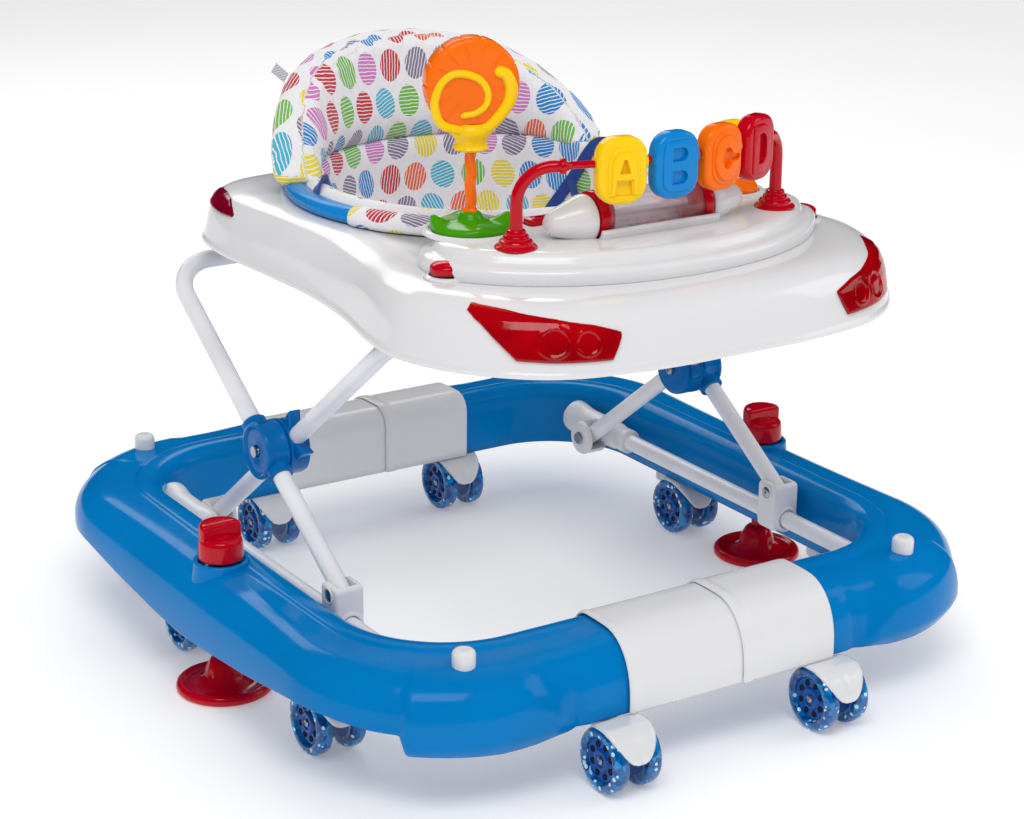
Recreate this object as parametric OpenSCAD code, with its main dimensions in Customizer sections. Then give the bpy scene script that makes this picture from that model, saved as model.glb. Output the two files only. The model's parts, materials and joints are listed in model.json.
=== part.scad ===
// Baby walker: blue ring base on eight twin-wheel casters, a scissor lift of bent white tubes,
// and a white toy tray with a padded seat. Front faces -Y, +Z is up, the floor is z = 0.

/* [Base ring] */
// Half width of the base ring, the same in x and y
base_half = 331; // [310:1:350]
// Outer radius of the base ring's corners
base_corner_r = 140; // [125:1:150]
// Width of the ring's hollow beam
beam_w = 76; // [70:1:80]
// Top of the beam above the floor
beam_top = 118; // [116:1:122]
// Lower edge of the beam along the straight sides
beam_bottom = 57; // [56:1:60]
// Lower edge of the beam in the four corner lobes
lobe_bottom = 46; // [42:1:56]
// Wall thickness of the moulded shells
shell_t = 3; // [2.5:0.5:4]
// Left end of the white sleeves on the front and rear beams
sleeve_left = -94; // [-110:1:-80]
// Right end of the white sleeves
sleeve_right = 116; // [100:1:125]
// Where the two sleeves of a pair meet
sleeve_seam = 19; // [0:1:40]

/* [Casters and stoppers] */
// Radius of a caster wheel
wheel_r = 28; // [26:0.5:28]
// Width of one caster wheel
wheel_w = 14; // [12:0.5:14]
// Distance between the mid-planes of a caster's two wheels
wheel_gap = 31; // [30.5:0.5:34]
// How far the axle trails behind the swivel stem
caster_trail = 38; // [36:0.5:38]
// Diameter of a stopper foot
stopper_foot_d = 85; // [70:1:90]
// Diameter of a stopper knob
stopper_knob_d = 39; // [34:1:42]

/* [Scissor lift] */
// Diameter of the lift tubes and the base rails
tube_d = 16; // [14:0.5:16]
// Wall thickness of the lift tubes
tube_wall = 1.4; // [1:0.1:2]
// Half distance between the rails, which the rear lift tube stands over
rail_x = 232; // [230:0.5:234]
// Half distance between the legs of the front lift tube
front_leg_x = 212; // [211:0.5:214]
// Length of the front lift tube from its lower pivot to its crossbar
front_tube_len = 446.8; // [440:0.1:450]
// Length of the rear lift tube from its lower pivot to its crossbar
rear_tube_len = 377.8; // [374:0.1:380]

/* [Tray and toys] */
// Height of the tray's lower rim
tray_rim = 345; // [344:1:348]
// Height of the tray's top
tray_top = 397; // [394:1:400]
// Radius of the seat opening
seat_r = 155; // [150:1:156]
// Height of the seat back's highest point
back_top = 522; // [500:1:530]
// Radius of the toy arch's bar, seen from above
arch_r = 258; // [250:1:270]
// Height of the arch bar
arch_z = 485; // [480:1:490]
// Radius of the rolling drum
drum_r = 19; // [16:0.5:20]

/* [Hidden] */
$fn = 48;

// Base ring
corner_c = base_half - base_corner_r;          // centre of a corner's arcs, in x and y
inner_half = base_half - beam_w;               // inner edge of the straight beams
beam_out_r = 30;                               // top rounding on the outer side
beam_in_r = 16;                                // top rounding on the inner side
half_gap = 0.25;                               // half of the split between the two halves
sleeve_gap = 0.6;                              // air between a beam and its sleeve
sleeve_outer = base_half + sleeve_gap + shell_t + 1.6;
boss_top = beam_top - 2;

// Casters: stems [x, y] of the eight casters; all trail towards the front at rest
caster_stem_y = 303;
side_stem = [273, 121];
front_stem_x = 107;
STEMS = [[-front_stem_x, -caster_stem_y], [front_stem_x, -caster_stem_y],
    [-side_stem.x, -side_stem.y], [side_stem.x, -side_stem.y],
    [-side_stem.x, side_stem.y], [side_stem.x, side_stem.y],
    [-front_stem_x, caster_stem_y], [front_stem_x, caster_stem_y]];
// The front casters reach further out than the base does at the back, so the base ring's
// centre lies this far behind the middle of the whole object.
base_y = (caster_stem_y + caster_trail + wheel_r - sleeve_outer) / 2;
stem_r = 4.5;
stem_top = 104;
hood_w = 15;
hood_top = 55.5;
axle_r = 2.5;
run_fit = 0.06;                                // radial clearance of every running fit

// Stoppers
stopper_pos = [293, -9];
stopper_stem_r = 6;
collar_top = 121;
knob_z = 122;
knob_h = 32;
plug_pos = [225, 293];

// Scissor lift: pivot points as [y, z]
pivot = [166, 86];                             // rear pivot, fixed to the base
hub = [19, 200];                               // crossing of the two tubes
slide_pin = [-112, 113];                       // front pivot, on the sliders
rail_z = 88;
rail_end = 262;
bracket_end = 221;                             // the pivot brackets stop short of the base's wall
tube_r = tube_d / 2;
pin_r = 3;
front_dir = (hub - pivot) / norm(hub - pivot);
rear_dir = (hub - slide_pin) / norm(hub - slide_pin);
front_angle = atan2(front_dir.y, front_dir.x);
rear_angle = atan2(rear_dir.y, rear_dir.x);
front_top = pivot + front_tube_len * front_dir;
rear_top = slide_pin + rear_tube_len * rear_dir;
front_bend_r = 60;                             // wide, so that the folded tube stays inside the tray
rear_bend_r = 40;
hub_r = 25;
hub_split = 222;                               // plane between the two hub halves
slot_travel = 84;                              // how far the front crossbar slides when folding
front_plate_x = 140;                           // tray plates that carry the front crossbar
rear_plate_x = 110;                            // tray plates that carry the rear crossbar
plate_top = tray_top - shell_t + 0.5;          // the plates are welded into the tray's top

// Tray outline, right half from front to back; a closed curve is drawn through the points
TRAY_HALF = [[0, -339], [80, -337], [157, -319], [210, -271], [234, -215], [233, -165],
    [217, -90], [210, -20], [212, 60], [215, 130], [207, 185], [186, 213], [150, 226],
    [85, 230], [0, 230]];
seat_c = [0, 42];                              // centre of the seat opening
tray_well_r = seat_r + 9;
strap_angle = 14;                              // where the straps hang, behind the seat's middle
// Outline of the seat back from behind, right half from the top down, as [x, share of its height]
BACK_HALF = [[0, 1], [32, 0.99], [63, 0.95], [92, 0.9], [119, 0.81], [142, 0.67], [160, 0.45],
    [169, 0.22], [175, 0]];

// Console outline, right half from front to back
CONSOLE_HALF = [[0, -287], [72, -278], [135, -250], [180, -205], [184, -160], [160, -130],
    [118, -123], [60, -131], [0, -132]];
console_z = tray_top + 0.4;
console_mid = 410;
console_top = 420;
cradle_half = 78;

// Toys
arch_end = 30;                                 // half angle that the arch spans
arch_c = -214 + arch_r * cos(arch_end);        // y of the arch's centre
arch_post_x = arch_r * sin(arch_end);
bend_left = 30;                                // bend radii of the arch's two posts
bend_right = 22;
arch_bar_r = 3;
letter_angles = [-11.5, -0.8, 9.9, 20.4];       // where the four letters stand on the arch
letter_size = [42, 18, 54];
letter_drop = 6;                               // the bar runs above a letter's middle
letter_bore = 4.6;
drum_pos = [0, -207, 434];
drum_half = 56;
lolly_pos = [-131, -150];
lolly_z = 539;
lolly_r = 38;
spin_pos = [131, -150];
spin_z = 461;
spin_r = 21;
button_pos = [-66, -158];
latch_pos = [191, -190];

// ---- shared shapes -------------------------------------------------------------------

function arc(c, r, a0, a1, n = 6) =
    [for (i = [0:n]) c + r * [cos(a0 + (a1 - a0) * i / n), sin(a0 + (a1 - a0) * i / n)]];

// Half outline on +x mirrored into a closed loop; its first and last points lie on x = 0
function mirrored(half) =
    concat(half, [for (i = [len(half) - 2:-1:1]) [-half[i].x, half[i].y]]);

// Catmull-Rom curve through a closed loop of points
function curve_point(a, b, c, d, t) =
    0.5 * (2 * b + (c - a) * t + (2 * a - 5 * b + 4 * c - d) * t * t
        + (3 * b - a - 3 * c + d) * t * t * t);
function smooth_loop(pts, steps) =
    let (n = len(pts))
    [for (i = [0:n - 1]) for (s = [0:steps - 1])
        curve_point(pts[(i + n - 1) % n], pts[i], pts[(i + 1) % n], pts[(i + 2) % n], s / steps)];

// The same loop moved inwards by d along its own normals (the loops here run anticlockwise)
function moved_in(pts, d) =
    let (n = len(pts))
    [for (i = [0:n - 1])
        let (t = pts[(i + 1) % n] - pts[(i + n - 1) % n], u = t / norm(t))
        pts[i] + d * [-u.y, u.x]];

// Points of the circle that face each point of a loop
function facing_circle(pts, c, r) = [for (p = pts) c + r * (p - c) / norm(p - c)];

function at_height(pts, z) = [for (p = pts) [p.x, p.y, z]];

// A closed band through a list of equally long rings, the last joined to the first
module ring_band(rings) {
    n = len(rings[0]);
    m = len(rings);
    polyhedron([for (r = rings) each r],
        [for (k = [0:m - 1]) for (i = [0:n - 1])
            let (a = k * n + i, b = k * n + (i + 1) % n,
                c = ((k + 1) % m) * n + (i + 1) % n, d = ((k + 1) % m) * n + i)
            each [[a, c, b], [a, d, c]]]);
}

module x_rod(r, x0, x1, y, z) {
    translate([x0, y, z]) rotate([0, 90, 0]) cylinder(r = r, h = x1 - x0);
}

module y_rod(r, x, y0, y1, z) {
    translate([x, y0, z]) rotate([-90, 0, 0]) cylinder(r = r, h = y1 - y0);
}

module both_sides() {
    children();
    mirror([1, 0, 0]) children();
}

// ---- base ring -----------------------------------------------------------------------

// Inverted U of the beam, x from its inner edge outwards; grow moves the skin outwards
function beam_outline(bottom, grow) = concat(
    [[beam_w + grow, bottom]],
    arc([beam_w - beam_out_r, beam_top - beam_out_r], beam_out_r + grow, 0, 90),
    arc([beam_in_r, beam_top - beam_in_r], beam_in_r + grow, 90, 180),
    [[-grow, bottom]]);

module beam_section(bottom) {
    difference() {
        polygon(beam_outline(bottom, 0));
        polygon(beam_outline(bottom - 1, -shell_t));
    }
}

module side_beam(y0, y1) {
    translate([inner_half, y1, 0]) rotate([90, 0, 0])
        linear_extrude(y1 - y0) beam_section(beam_bottom);
}

module corner_beam() {
    translate([corner_c, corner_c, 0]) rotate_extrude(angle = 90)
        translate([inner_half - corner_c, 0]) beam_section(lobe_bottom);
}

module half_shell() {
    side_beam(-corner_c, corner_c);
    rotate([0, 0, -90]) side_beam(half_gap, corner_c);
    rotate([0, 0, 90]) side_beam(-corner_c, -half_gap);
    corner_beam();
    mirror([0, 1, 0]) corner_beam();
}

module base_half_ring() {
    difference() {
        union() {
            half_shell();
            for (s = STEMS) if (s.x > 0)
                translate([s.x, s.y, 62]) cylinder(r = 8, h = boss_top - 62);
            translate([stopper_pos.x, stopper_pos.y, 64]) cylinder(r = 11, h = 50);
            translate([stopper_pos.x, stopper_pos.y, 112]) cylinder(r = 23, h = collar_top - 112);
        }
        for (s = STEMS) if (s.x > 0)
            translate([s.x, s.y, 50]) cylinder(r = stem_r + run_fit, h = stem_top + 4 - 50);
        translate([stopper_pos.x, stopper_pos.y, 60])
            cylinder(r = stopper_stem_r + run_fit, h = 70);
        for (y = [-rail_end - 8, 215]) y_rod(tube_r + 0.3, rail_x, y, y + 55, rail_z);
        for (y = [-plug_pos.y, plug_pos.y])
            translate([plug_pos.x, y, 100]) cylinder(r = 6.05, h = 30);
    }
}

module base_left() {
    color("dodgerblue") mirror([1, 0, 0]) base_half_ring();
}

module base_right() {
    color("dodgerblue") base_half_ring();
}

module sleeve(x0, x1, grow) {
    rotate([0, 0, -90]) translate([inner_half, x1, 0]) rotate([90, 0, 0])
        linear_extrude(x1 - x0) difference() {
            polygon(beam_outline(beam_bottom, grow + shell_t));
            polygon(beam_outline(beam_bottom - 1, grow));
        }
}

// The wider sleeve slips under the lip of the narrower one at the seam
module sleeve_pair() {
    sleeve(sleeve_left, sleeve_seam - 0.4, sleeve_gap);
    sleeve(sleeve_seam, sleeve_right, sleeve_gap + 1.6);
}

module front_sleeves() {
    color("white") sleeve_pair();
}

module rear_sleeves() {
    color("white") mirror([0, 1, 0]) sleeve_pair();
}

module corner_plug() {
    rotate_extrude() polygon(concat([[0, 104], [5, 104], [6, 106], [6, beam_top], [9, beam_top]],
        arc([6, 126], 3, 0, 90), [[0, 130]]));
}

module corner_plugs() {
    color("whitesmoke") both_sides() for (y = [-plug_pos.y, plug_pos.y])
        translate([plug_pos.x, y, 0]) corner_plug();
}

module rails() {
    color("white") both_sides() difference() {
        y_rod(tube_r, rail_x, -rail_end, rail_end, rail_z);
        y_rod(tube_r - tube_wall, rail_x, -rail_end - 1, rail_end + 1, rail_z);
        x_rod(pin_r + 0.02, 200, 236, pivot.x, pivot.y);
    }
}

// Cup round the front tube's lower end, joined to a socket on the rail
module rear_pivot_brackets() {
    color("white") both_sides() difference() {
        union() {
            x_rod(17, 198, hub_split, pivot.x, pivot.y);
            y_rod(13, rail_x, pivot.x + 11, bracket_end, rail_z);
        }
        translate([front_leg_x - 9, pivot.x - 30, pivot.y - 9.5]) cube([22, 40, 60]);
        y_rod(tube_r + 0.02, rail_x, 150, 240, rail_z);
        x_rod(pin_r + 0.02, 190, 240, pivot.x, pivot.y);
    }
}

module pivot_pins() {
    color("silver") both_sides() {
        x_rod(pin_r, 196, rail_x - 1, pivot.x, pivot.y);
        x_rod(5.5, 195, 197.9, pivot.x, pivot.y);
    }
}

// ---- stoppers ------------------------------------------------------------------------

module stopper_knob() {
    r = stopper_knob_d / 2;
    translate([stopper_pos.x, stopper_pos.y, knob_z]) difference() {
        union() {
            rotate_extrude() polygon(concat([[0, 0], [r, 0], [r, 16]],
                arc([r - 3, 18], 3, 0, 90), [[0, 21]]));
            intersection() {
                rotate_extrude() polygon(concat([[0, 10], [r, 10], [r, knob_h - 4]],
                    arc([r - 4, knob_h - 4], 4, 0, 90), [[0, knob_h]]));
                translate([-r, -4, 0]) cube([2 * r, r + 4, knob_h]);
            }
        }
        translate([0, 0, -1]) cylinder(r = stopper_stem_r + 0.5, h = 30);
    }
}

module stopper_foot() {
    r = stopper_foot_d / 2;
    translate([stopper_pos.x, stopper_pos.y, 0]) {
        rotate_extrude() polygon(concat([[0, 0], [r - 5, 0]], arc([r - 5, 5], 5, -90, 60),
            [[22, 10], [19, 12]], arc([0, 19], 14, -30, 60), [[0, 31]]));
        cylinder(r = stopper_stem_r, h = 137);
    }
}

module stopper_knob_left() {
    color("red") mirror([1, 0, 0]) stopper_knob();
}

module stopper_knob_right() {
    color("red") stopper_knob();
}

module stopper_foot_left() {
    color("firebrick") mirror([1, 0, 0]) stopper_foot();
}

module stopper_foot_right() {
    color("firebrick") stopper_foot();
}

// ---- casters -------------------------------------------------------------------------

// Stem, arm and the hood that covers the wheels' top and leading side
module caster_fork(i) {
    axle_y = STEMS[i - 1].y - caster_trail;
    color("white") translate([STEMS[i - 1].x, 0, 0]) difference() {
        union() {
            translate([0, STEMS[i - 1].y, 44]) cylinder(r = stem_r, h = stem_top - 44);
            translate([0, STEMS[i - 1].y, 44]) cylinder(r = 7.5, h = 12);
            translate([-hood_w / 2, axle_y, 44]) cube([hood_w, caster_trail, 8]);
            intersection() {
                x_rod(wheel_r + 1, -hood_w / 2, hood_w / 2, axle_y, wheel_r);
                translate([-hood_w, axle_y - 40, 16]) cube([2 * hood_w, 62, hood_top - 16]);
            }
        }
        x_rod(axle_r + run_fit, -hood_w, hood_w, axle_y, wheel_r);
    }
}

// Two wheels on one axle
module caster_wheels(i) {
    half = wheel_gap / 2;
    color("royalblue") translate([STEMS[i - 1].x, STEMS[i - 1].y - caster_trail, wheel_r])
        rotate([0, 90, 0]) {
            for (side = [-1, 1]) translate([0, 0, side * half]) rotate_extrude()
                polygon(concat([[0, -wheel_w / 2]],
                    arc([wheel_r - 4, 4 - wheel_w / 2], 4, -90, 0),
                    arc([wheel_r - 4, wheel_w / 2 - 4], 4, 0, 90), [[0, wheel_w / 2]]));
            translate([0, 0, -half]) cylinder(r = axle_r, h = wheel_gap);
        }
}

// ---- scissor lift --------------------------------------------------------------------

// U-shaped tube in the xy-plane: legs along +y from a round lower end, crossbar at y = len
module u_tube(half_w, len, bend_r, r, start) {
    for (side = [0, 1]) mirror([side, 0, 0]) {
        translate([half_w, start, 0]) rotate([-90, 0, 0]) cylinder(r = r, h = len - bend_r - start);
        translate([half_w - bend_r, len - bend_r, 0]) rotate_extrude(angle = 90)
            translate([bend_r, 0]) circle(r);
    }
    translate([bend_r - half_w, len, 0]) rotate([0, 90, 0])
        cylinder(r = r, h = 2 * (half_w - bend_r));
}

module pipe(half_w, len, bend_r) {
    difference() {
        union() {
            u_tube(half_w, len, bend_r, tube_r, 0);
            for (x = [-half_w, half_w]) translate([x, 0, 0]) sphere(r = tube_r);
        }
        u_tube(half_w, len, bend_r, tube_r - tube_wall, 6);
    }
}

module at_pivot(p, angle) {
    translate([0, p.x, p.y]) rotate([angle, 0, 0]) children();
}

module front_lift_tube() {
    color("white") difference() {
        at_pivot(pivot, front_angle) pipe(front_leg_x, front_tube_len, front_bend_r);
        both_sides() x_rod(pin_r + run_fit, 190, hub_split, pivot.x, pivot.y);
        both_sides() x_rod(pin_r + 0.02, 190, hub_split, hub.x, hub.y);
    }
}

module rear_lift_tube() {
    color("white") difference() {
        at_pivot(slide_pin, rear_angle) pipe(rail_x, rear_tube_len, rear_bend_r);
        both_sides() x_rod(pin_r + run_fit, hub_split, 250, slide_pin.x, slide_pin.y);
        both_sides() x_rod(pin_r + run_fit, hub_split, 250, hub.x, hub.y);
    }
}

// Drum half clamped round the front tube's legs, with a pointed fin each side of the tube
module hub_inner() {
    color("dodgerblue") both_sides() difference() {
        union() {
            x_rod(hub_r, 201.5, hub_split - 0.2, hub.x, hub.y);
            for (turn = [32, -32])
                translate([206, hub.x, hub.y]) rotate([front_angle - 90 + turn, 0, 0])
                    rotate([0, 90, 0]) linear_extrude(12) polygon([[-38, 0], [-10, 9], [-10, -9]]);
        }
        at_pivot(pivot, front_angle) translate([front_leg_x, 120, 0]) rotate([-90, 0, 0])
            cylinder(r = tube_r + 0.03, h = 140);
        x_rod(pin_r + 0.02, 190, 250, hub.x, hub.y);
    }
}

module hub_outer() {
    color("dodgerblue") both_sides() difference() {
        x_rod(hub_r, hub_split + 0.2, 244, hub.x, hub.y);
        at_pivot(slide_pin, rear_angle) translate([rail_x, 100, 0]) rotate([-90, 0, 0])
            cylinder(r = tube_r + 0.03, h = 120);
        x_rod(pin_r + run_fit, 190, 250, hub.x, hub.y);
    }
}

module hub_pins() {
    color("silver") both_sides() {
        x_rod(pin_r, 200, 245, hub.x, hub.y);
        x_rod(5, 199, 201.4, hub.x, hub.y);
        x_rod(5, 244.4, 246, hub.x, hub.y);
    }
}

// Block that runs on a rail; the rear tube's lower end turns in the slot in its top
module slider_block() {
    difference() {
        translate([rail_x - 16, slide_pin.x - 17, 76]) cube([32, 34, 52]);
        translate([rail_x - 8.7, slide_pin.x - 9.5, 103]) cube([17.4, 60, 40]);
        y_rod(tube_r + 0.7, rail_x, slide_pin.x - 20, slide_pin.x + 20, rail_z);
        x_rod(pin_r + 0.02, 210, 254, slide_pin.x, slide_pin.y);
    }
}

module sliders() {
    color("whitesmoke") both_sides() {
        slider_block();
        x_rod(pin_r, 214, 250, slide_pin.x, slide_pin.y);
    }
}

// ---- tray ----------------------------------------------------------------------------

tray_loop = smooth_loop(mirrored(TRAY_HALF), 4);
console_loop = smooth_loop(mirrored(CONSOLE_HALF), 4);

function tray_ring(d, z) = at_height(moved_in(tray_loop, d), z);
function well_ring(r, z) = at_height(facing_circle(tray_loop, seat_c, r), z);

module tray_shell() {
    t = shell_t;
    color("white") ring_band([
        tray_ring(0, tray_rim), tray_ring(1, tray_rim + 12), tray_ring(3, tray_top - 18),
        tray_ring(6, tray_top - 8), tray_ring(10, tray_top - 2), tray_ring(14, tray_top),
        well_ring(tray_well_r + 2, tray_top), well_ring(tray_well_r, tray_top - 3),
        well_ring(tray_well_r, tray_top - 24), well_ring(tray_well_r + t, tray_top - 24),
        well_ring(tray_well_r + t + 1, tray_top - t), tray_ring(15, tray_top - t),
        tray_ring(12.5, tray_top - t - 2), tray_ring(9, tray_top - t - 8),
        tray_ring(t + 3, tray_top - 22), tray_ring(t, tray_rim)]);
}

// Plates under the tray: slotted ones in front, drilled ones at the back
module tray_brackets() {
    color("white") {
        for (x = [-front_plate_x, front_plate_x]) translate([x - 2.5, 0, 0]) difference() {
            translate([0, front_top.x - slot_travel - 18, front_top.y - 14])
                cube([5, slot_travel + 34, plate_top - front_top.y + 14]);
            hull() for (y = [front_top.x - slot_travel, front_top.x + 1])
                x_rod(tube_r + 1.6, -1, 6, y, front_top.y);
        }
        for (x = [-rear_plate_x, rear_plate_x]) translate([x - 4, 0, 0]) difference() {
            union() {
                x_rod(13, 0, 8, rear_top.x, rear_top.y);
                translate([0, rear_top.x - 13, rear_top.y])
                    cube([8, 20, plate_top - rear_top.y]);
            }
            x_rod(tube_r + run_fit, -1, 9, rear_top.x, rear_top.y);
        }
    }
}

// Lens strip that follows the tray's skirt between two points of its outline
module skirt_strip(first, last, z0, z1) {
    out = moved_in(tray_loop, -3.8);
    near = moved_in(tray_loop, -0.4);
    translate([0, 0, z0]) linear_extrude(z1 - z0)
        polygon(concat([for (i = [first:last]) out[i]], [for (i = [last:-1:first]) near[i]]));
}

module headlights() {
    color("red") both_sides() skirt_strip(5, 14, 352, 385);
}

module tail_lights() {
    color("darkred") both_sides() skirt_strip(36, 44, 372, 392);
}

// ---- console and toys ----------------------------------------------------------------

// Solid between two heights that follows the console's outline, set back by inset
module console_slab(inset, z0, z1) {
    translate([0, 0, z0]) linear_extrude(z1 - z0) polygon(moved_in(console_loop, inset));
}

// Open-bottomed moulding in two tiers, with a trough and two cheeks for the drum
module console() {
    t = shell_t;
    color("white") difference() {
        union() {
            difference() {
                union() {
                    console_slab(0, console_z, console_mid);
                    console_slab(12, console_mid, console_top);
                }
                console_slab(t, console_z - 1, console_mid - t);
                console_slab(12 + t, console_mid - t, console_top - t);
            }
            intersection() {
                x_rod(drum_r + 6, -cradle_half, cradle_half, drum_pos.y, drum_pos.z);
                translate([-200, -300, console_mid - 1]) cube([400, 200, console_top - console_mid]);
            }
            for (side = [0, 1]) mirror([side, 0, 0])
                x_rod(drum_r + 4, drum_half + 2, cradle_half, drum_pos.y, drum_pos.z - 4);
        }
        x_rod(drum_r + 3, -drum_half - 1.5, drum_half + 1.5, drum_pos.y, drum_pos.z);
        x_rod(4 + run_fit, -drum_half - 12, drum_half + 12, drum_pos.y, drum_pos.z);
        translate([button_pos.x - 17.3, button_pos.y - 8.3, console_mid]) cube([34.6, 16.6, 20]);
        for (x = [-latch_pos.x, latch_pos.x])
            translate([x, latch_pos.y, console_z - 1]) cylinder(r = 14.5, h = 40);
    }
}

module latch() {
    translate([latch_pos.x, latch_pos.y, console_z + 4]) intersection() {
        rotate_extrude() polygon(concat([[0, 0], [13.5, 0]], arc([10.5, 5], 3, 0, 90), [[0, 10]]));
        translate([-20, -20, 0]) cube([40, 40, 20]);
    }
}

module latch_left() {
    color("red") mirror([1, 0, 0]) latch();
}

module latch_right() {
    color("red") latch();
}

module music_button() {
    color("red") translate([button_pos.x - 16.5, button_pos.y - 7.5, console_top - 4])
        cube([33, 15, 9]);
}

// Angle that a post's bend takes up along the arch
function bend_angle(bend_r) = atan(bend_r / arch_r);

// Two posts whose tops bend inwards into the bar, which curves round the console's front
module arch_frame() {
    start = -arch_end + bend_angle(bend_left);
    end = arch_end - bend_angle(bend_right);
    color("red") {
        translate([0, arch_c, arch_z]) rotate([0, 0, start - 90])
            rotate_extrude(angle = end - start) translate([arch_r, 0]) circle(arch_bar_r);
        at_arch(-arch_end) {
            mirror([1, 0, 0]) arch_post(bend_left);
            x_rod(5, bend_left - 1, bend_left + 7, 0, arch_z);
        }
        at_arch(arch_end) arch_post(bend_right);
    }
}

module at_arch(angle) {
    translate([0, arch_c, 0]) rotate([0, 0, angle]) translate([0, -arch_r, 0]) children();
}

// Post whose top bends towards -x
module arch_post(bend_r) {
    foot_z = console_top + 0.4;
    translate([0, 0, foot_z]) cylinder(r = 4.5, h = arch_z - bend_r - foot_z);
    translate([-bend_r, 0, arch_z - bend_r]) rotate([90, 0, 0])
        rotate_extrude(angle = 90) translate([bend_r, 0]) circle(4.5);
}

module arch_grommets() {
    color("crimson") for (x = [-arch_post_x, arch_post_x]) translate([x, -214, console_top + 0.2])
        rotate_extrude() polygon([[4.6, 0], [15, 0], [15, 3], [12, 4.5], [12, 7], [9.5, 8.5],
            [9.5, 11], [7, 12.5], [7, 15], [4.6, 15]]);
}

// Rounded block that spins on the arch bar
module letter_block(i) {
    w = letter_size.x;
    h = letter_size.z;
    r = 15;
    at_arch(letter_angles[i]) difference() {
        translate([-w / 2, letter_size.y / 2, arch_z - letter_drop - h / 2]) rotate([90, 0, 0])
            linear_extrude(letter_size.y)
                polygon(concat(arc([w - r, h - r], r, 0, 90), arc([r, h - r], r, 90, 180),
                    arc([r, r], r, 180, 270), arc([w - r, r], r, 270, 360)));
        x_rod(letter_bore, -w, w, 0, arch_z);
    }
}

module letter_a() {
    color("gold") letter_block(0);
}

module letter_b() {
    color("deepskyblue") letter_block(1);
}

module letter_c() {
    color("orange") letter_block(2);
}

module letter_d() {
    color("red") letter_block(3);
}

// Clear tube that rolls between two red end rings
module drum_tube() {
    color("lavender") difference() {
        x_rod(drum_r, -drum_half + 8, drum_half - 8, drum_pos.y, drum_pos.z);
        x_rod(drum_r - 1.5, -drum_half + 7, drum_half - 7, drum_pos.y, drum_pos.z);
    }
}

module drum_caps() {
    color("red") for (side = [0, 1]) mirror([side, 0, 0]) {
        x_rod(drum_r + 1, drum_half - 8, drum_half, drum_pos.y, drum_pos.z);
        x_rod(4, drum_half - 1, drum_half + 9, drum_pos.y, drum_pos.z);
    }
}

// Toy holder: a low flower or disc on the console with a bore for the toy's stem
module toy_socket(pos, r) {
    translate([pos.x, pos.y, console_top + 0.2]) difference() {
        rotate_extrude() polygon(concat([[0, 0], [r, 0], [r, 3]], arc([r - 12, 6], 9, 0, 90),
            [[0, 16]]));
        translate([0, 0, 3]) cylinder(r = 5 + run_fit, h = 20);
    }
}

module flower_socket() {
    color("limegreen") toy_socket(lolly_pos, 31);
}

module spinner_base() {
    color("orange") toy_socket(spin_pos, 22);
}

module lollipop_stem() {
    color("orangered") translate([lolly_pos.x, lolly_pos.y, console_top + 4])
        cylinder(r = 5, h = lolly_z - lolly_r - 10 - console_top);
}

module lollipop_disc() {
    color("orange") translate([lolly_pos.x, lolly_pos.y, lolly_z]) rotate([0, 0, -20])
        difference() {
            union() {
                rotate([90, 0, 0]) translate([0, 0, -11]) cylinder(r = lolly_r, h = 22);
                translate([0, 0, -lolly_r - 8]) cylinder(r = 9, h = 14);
            }
            translate([0, 0, -lolly_r - 9]) cylinder(r = 5.02, h = 4);
        }
}

module spinner_toy() {
    color("yellow") translate([spin_pos.x, spin_pos.y, 0]) {
        translate([0, 0, console_top + 4]) cylinder(r = 5, h = spin_z - console_top - 20);
        translate([0, 0, spin_z]) rotate([90, 0, 0]) translate([0, 0, -7]) cylinder(r = spin_r, h = 14);
    }
}

// ---- seat ----------------------------------------------------------------------------

module at_seat() {
    translate([seat_c.x, seat_c.y, 0]) children();
}

// Ring that hooks into the tray's well and carries the seat
module seat_ring() {
    r = tray_well_r;
    color("dodgerblue") at_seat() rotate_extrude() polygon([[r - 7, 379], [r - 1, 379],
        [r - 1, tray_top + 0.4], [r + 6, tray_top + 0.4], [r + 6, tray_top + 5], [r + 3, tray_top + 9],
        [r - 4, tray_top + 9], [r - 7, tray_top + 5]]);
}

// Fabric bucket with a padded rim and two leg holes
module seat_fabric() {
    r = tray_well_r - 8;
    color("whitesmoke") at_seat() difference() {
        rotate_extrude() polygon([[0, 256], [70, 256], [112, 270], [r - 16, 345], [r - 1, 376],
            [r, tray_top + 10], [r - 6, tray_top + 13], [r - 12, tray_top + 10],
            [r - 12, 376], [r - 26, 347], [104, 280], [66, 266], [0, 266]]);
        for (x = [-62, 62]) translate([x, -20, 240]) cylinder(r = 46, h = 50);
    }
}

// Padded back: a curved wall that leans out over the ring, with an arched top
module back_rest() {
    r = tray_well_r;
    z0 = tray_top + 14;
    h = back_top - z0;
    color("whitesmoke") at_seat() intersection() {
        rotate_extrude() polygon([[r - 14, z0], [r + 6, z0], [r + 16, z0 + 30], [r + 20, z0 + 70],
            [r + 16, back_top], [r + 4, back_top], [r - 4, z0 + 60], [r - 12, z0 + 20]]);
        translate([0, 200, z0]) rotate([90, 0, 0]) linear_extrude(220)
            polygon(concat([for (p = BACK_HALF) [p.x, p.y * h]],
                [for (i = [len(BACK_HALF) - 1:-1:1]) [-BACK_HALF[i].x, BACK_HALF[i].y * h]]));
    }
}

// Webbing that hangs from the ring down the bucket's inside, one strap on each side
module seat_straps() {
    color("navy") at_seat() both_sides() rotate([0, 0, strap_angle])
        translate([tray_well_r - 34.5, 0, 352]) rotate([0, 11, 0])
            translate([0, -5, 0]) cube([2, 10, 56]);
}

// ---- what is drawn -------------------------------------------------------------------

module placed() {
    translate([0, base_y, 0]) children();
}

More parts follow.
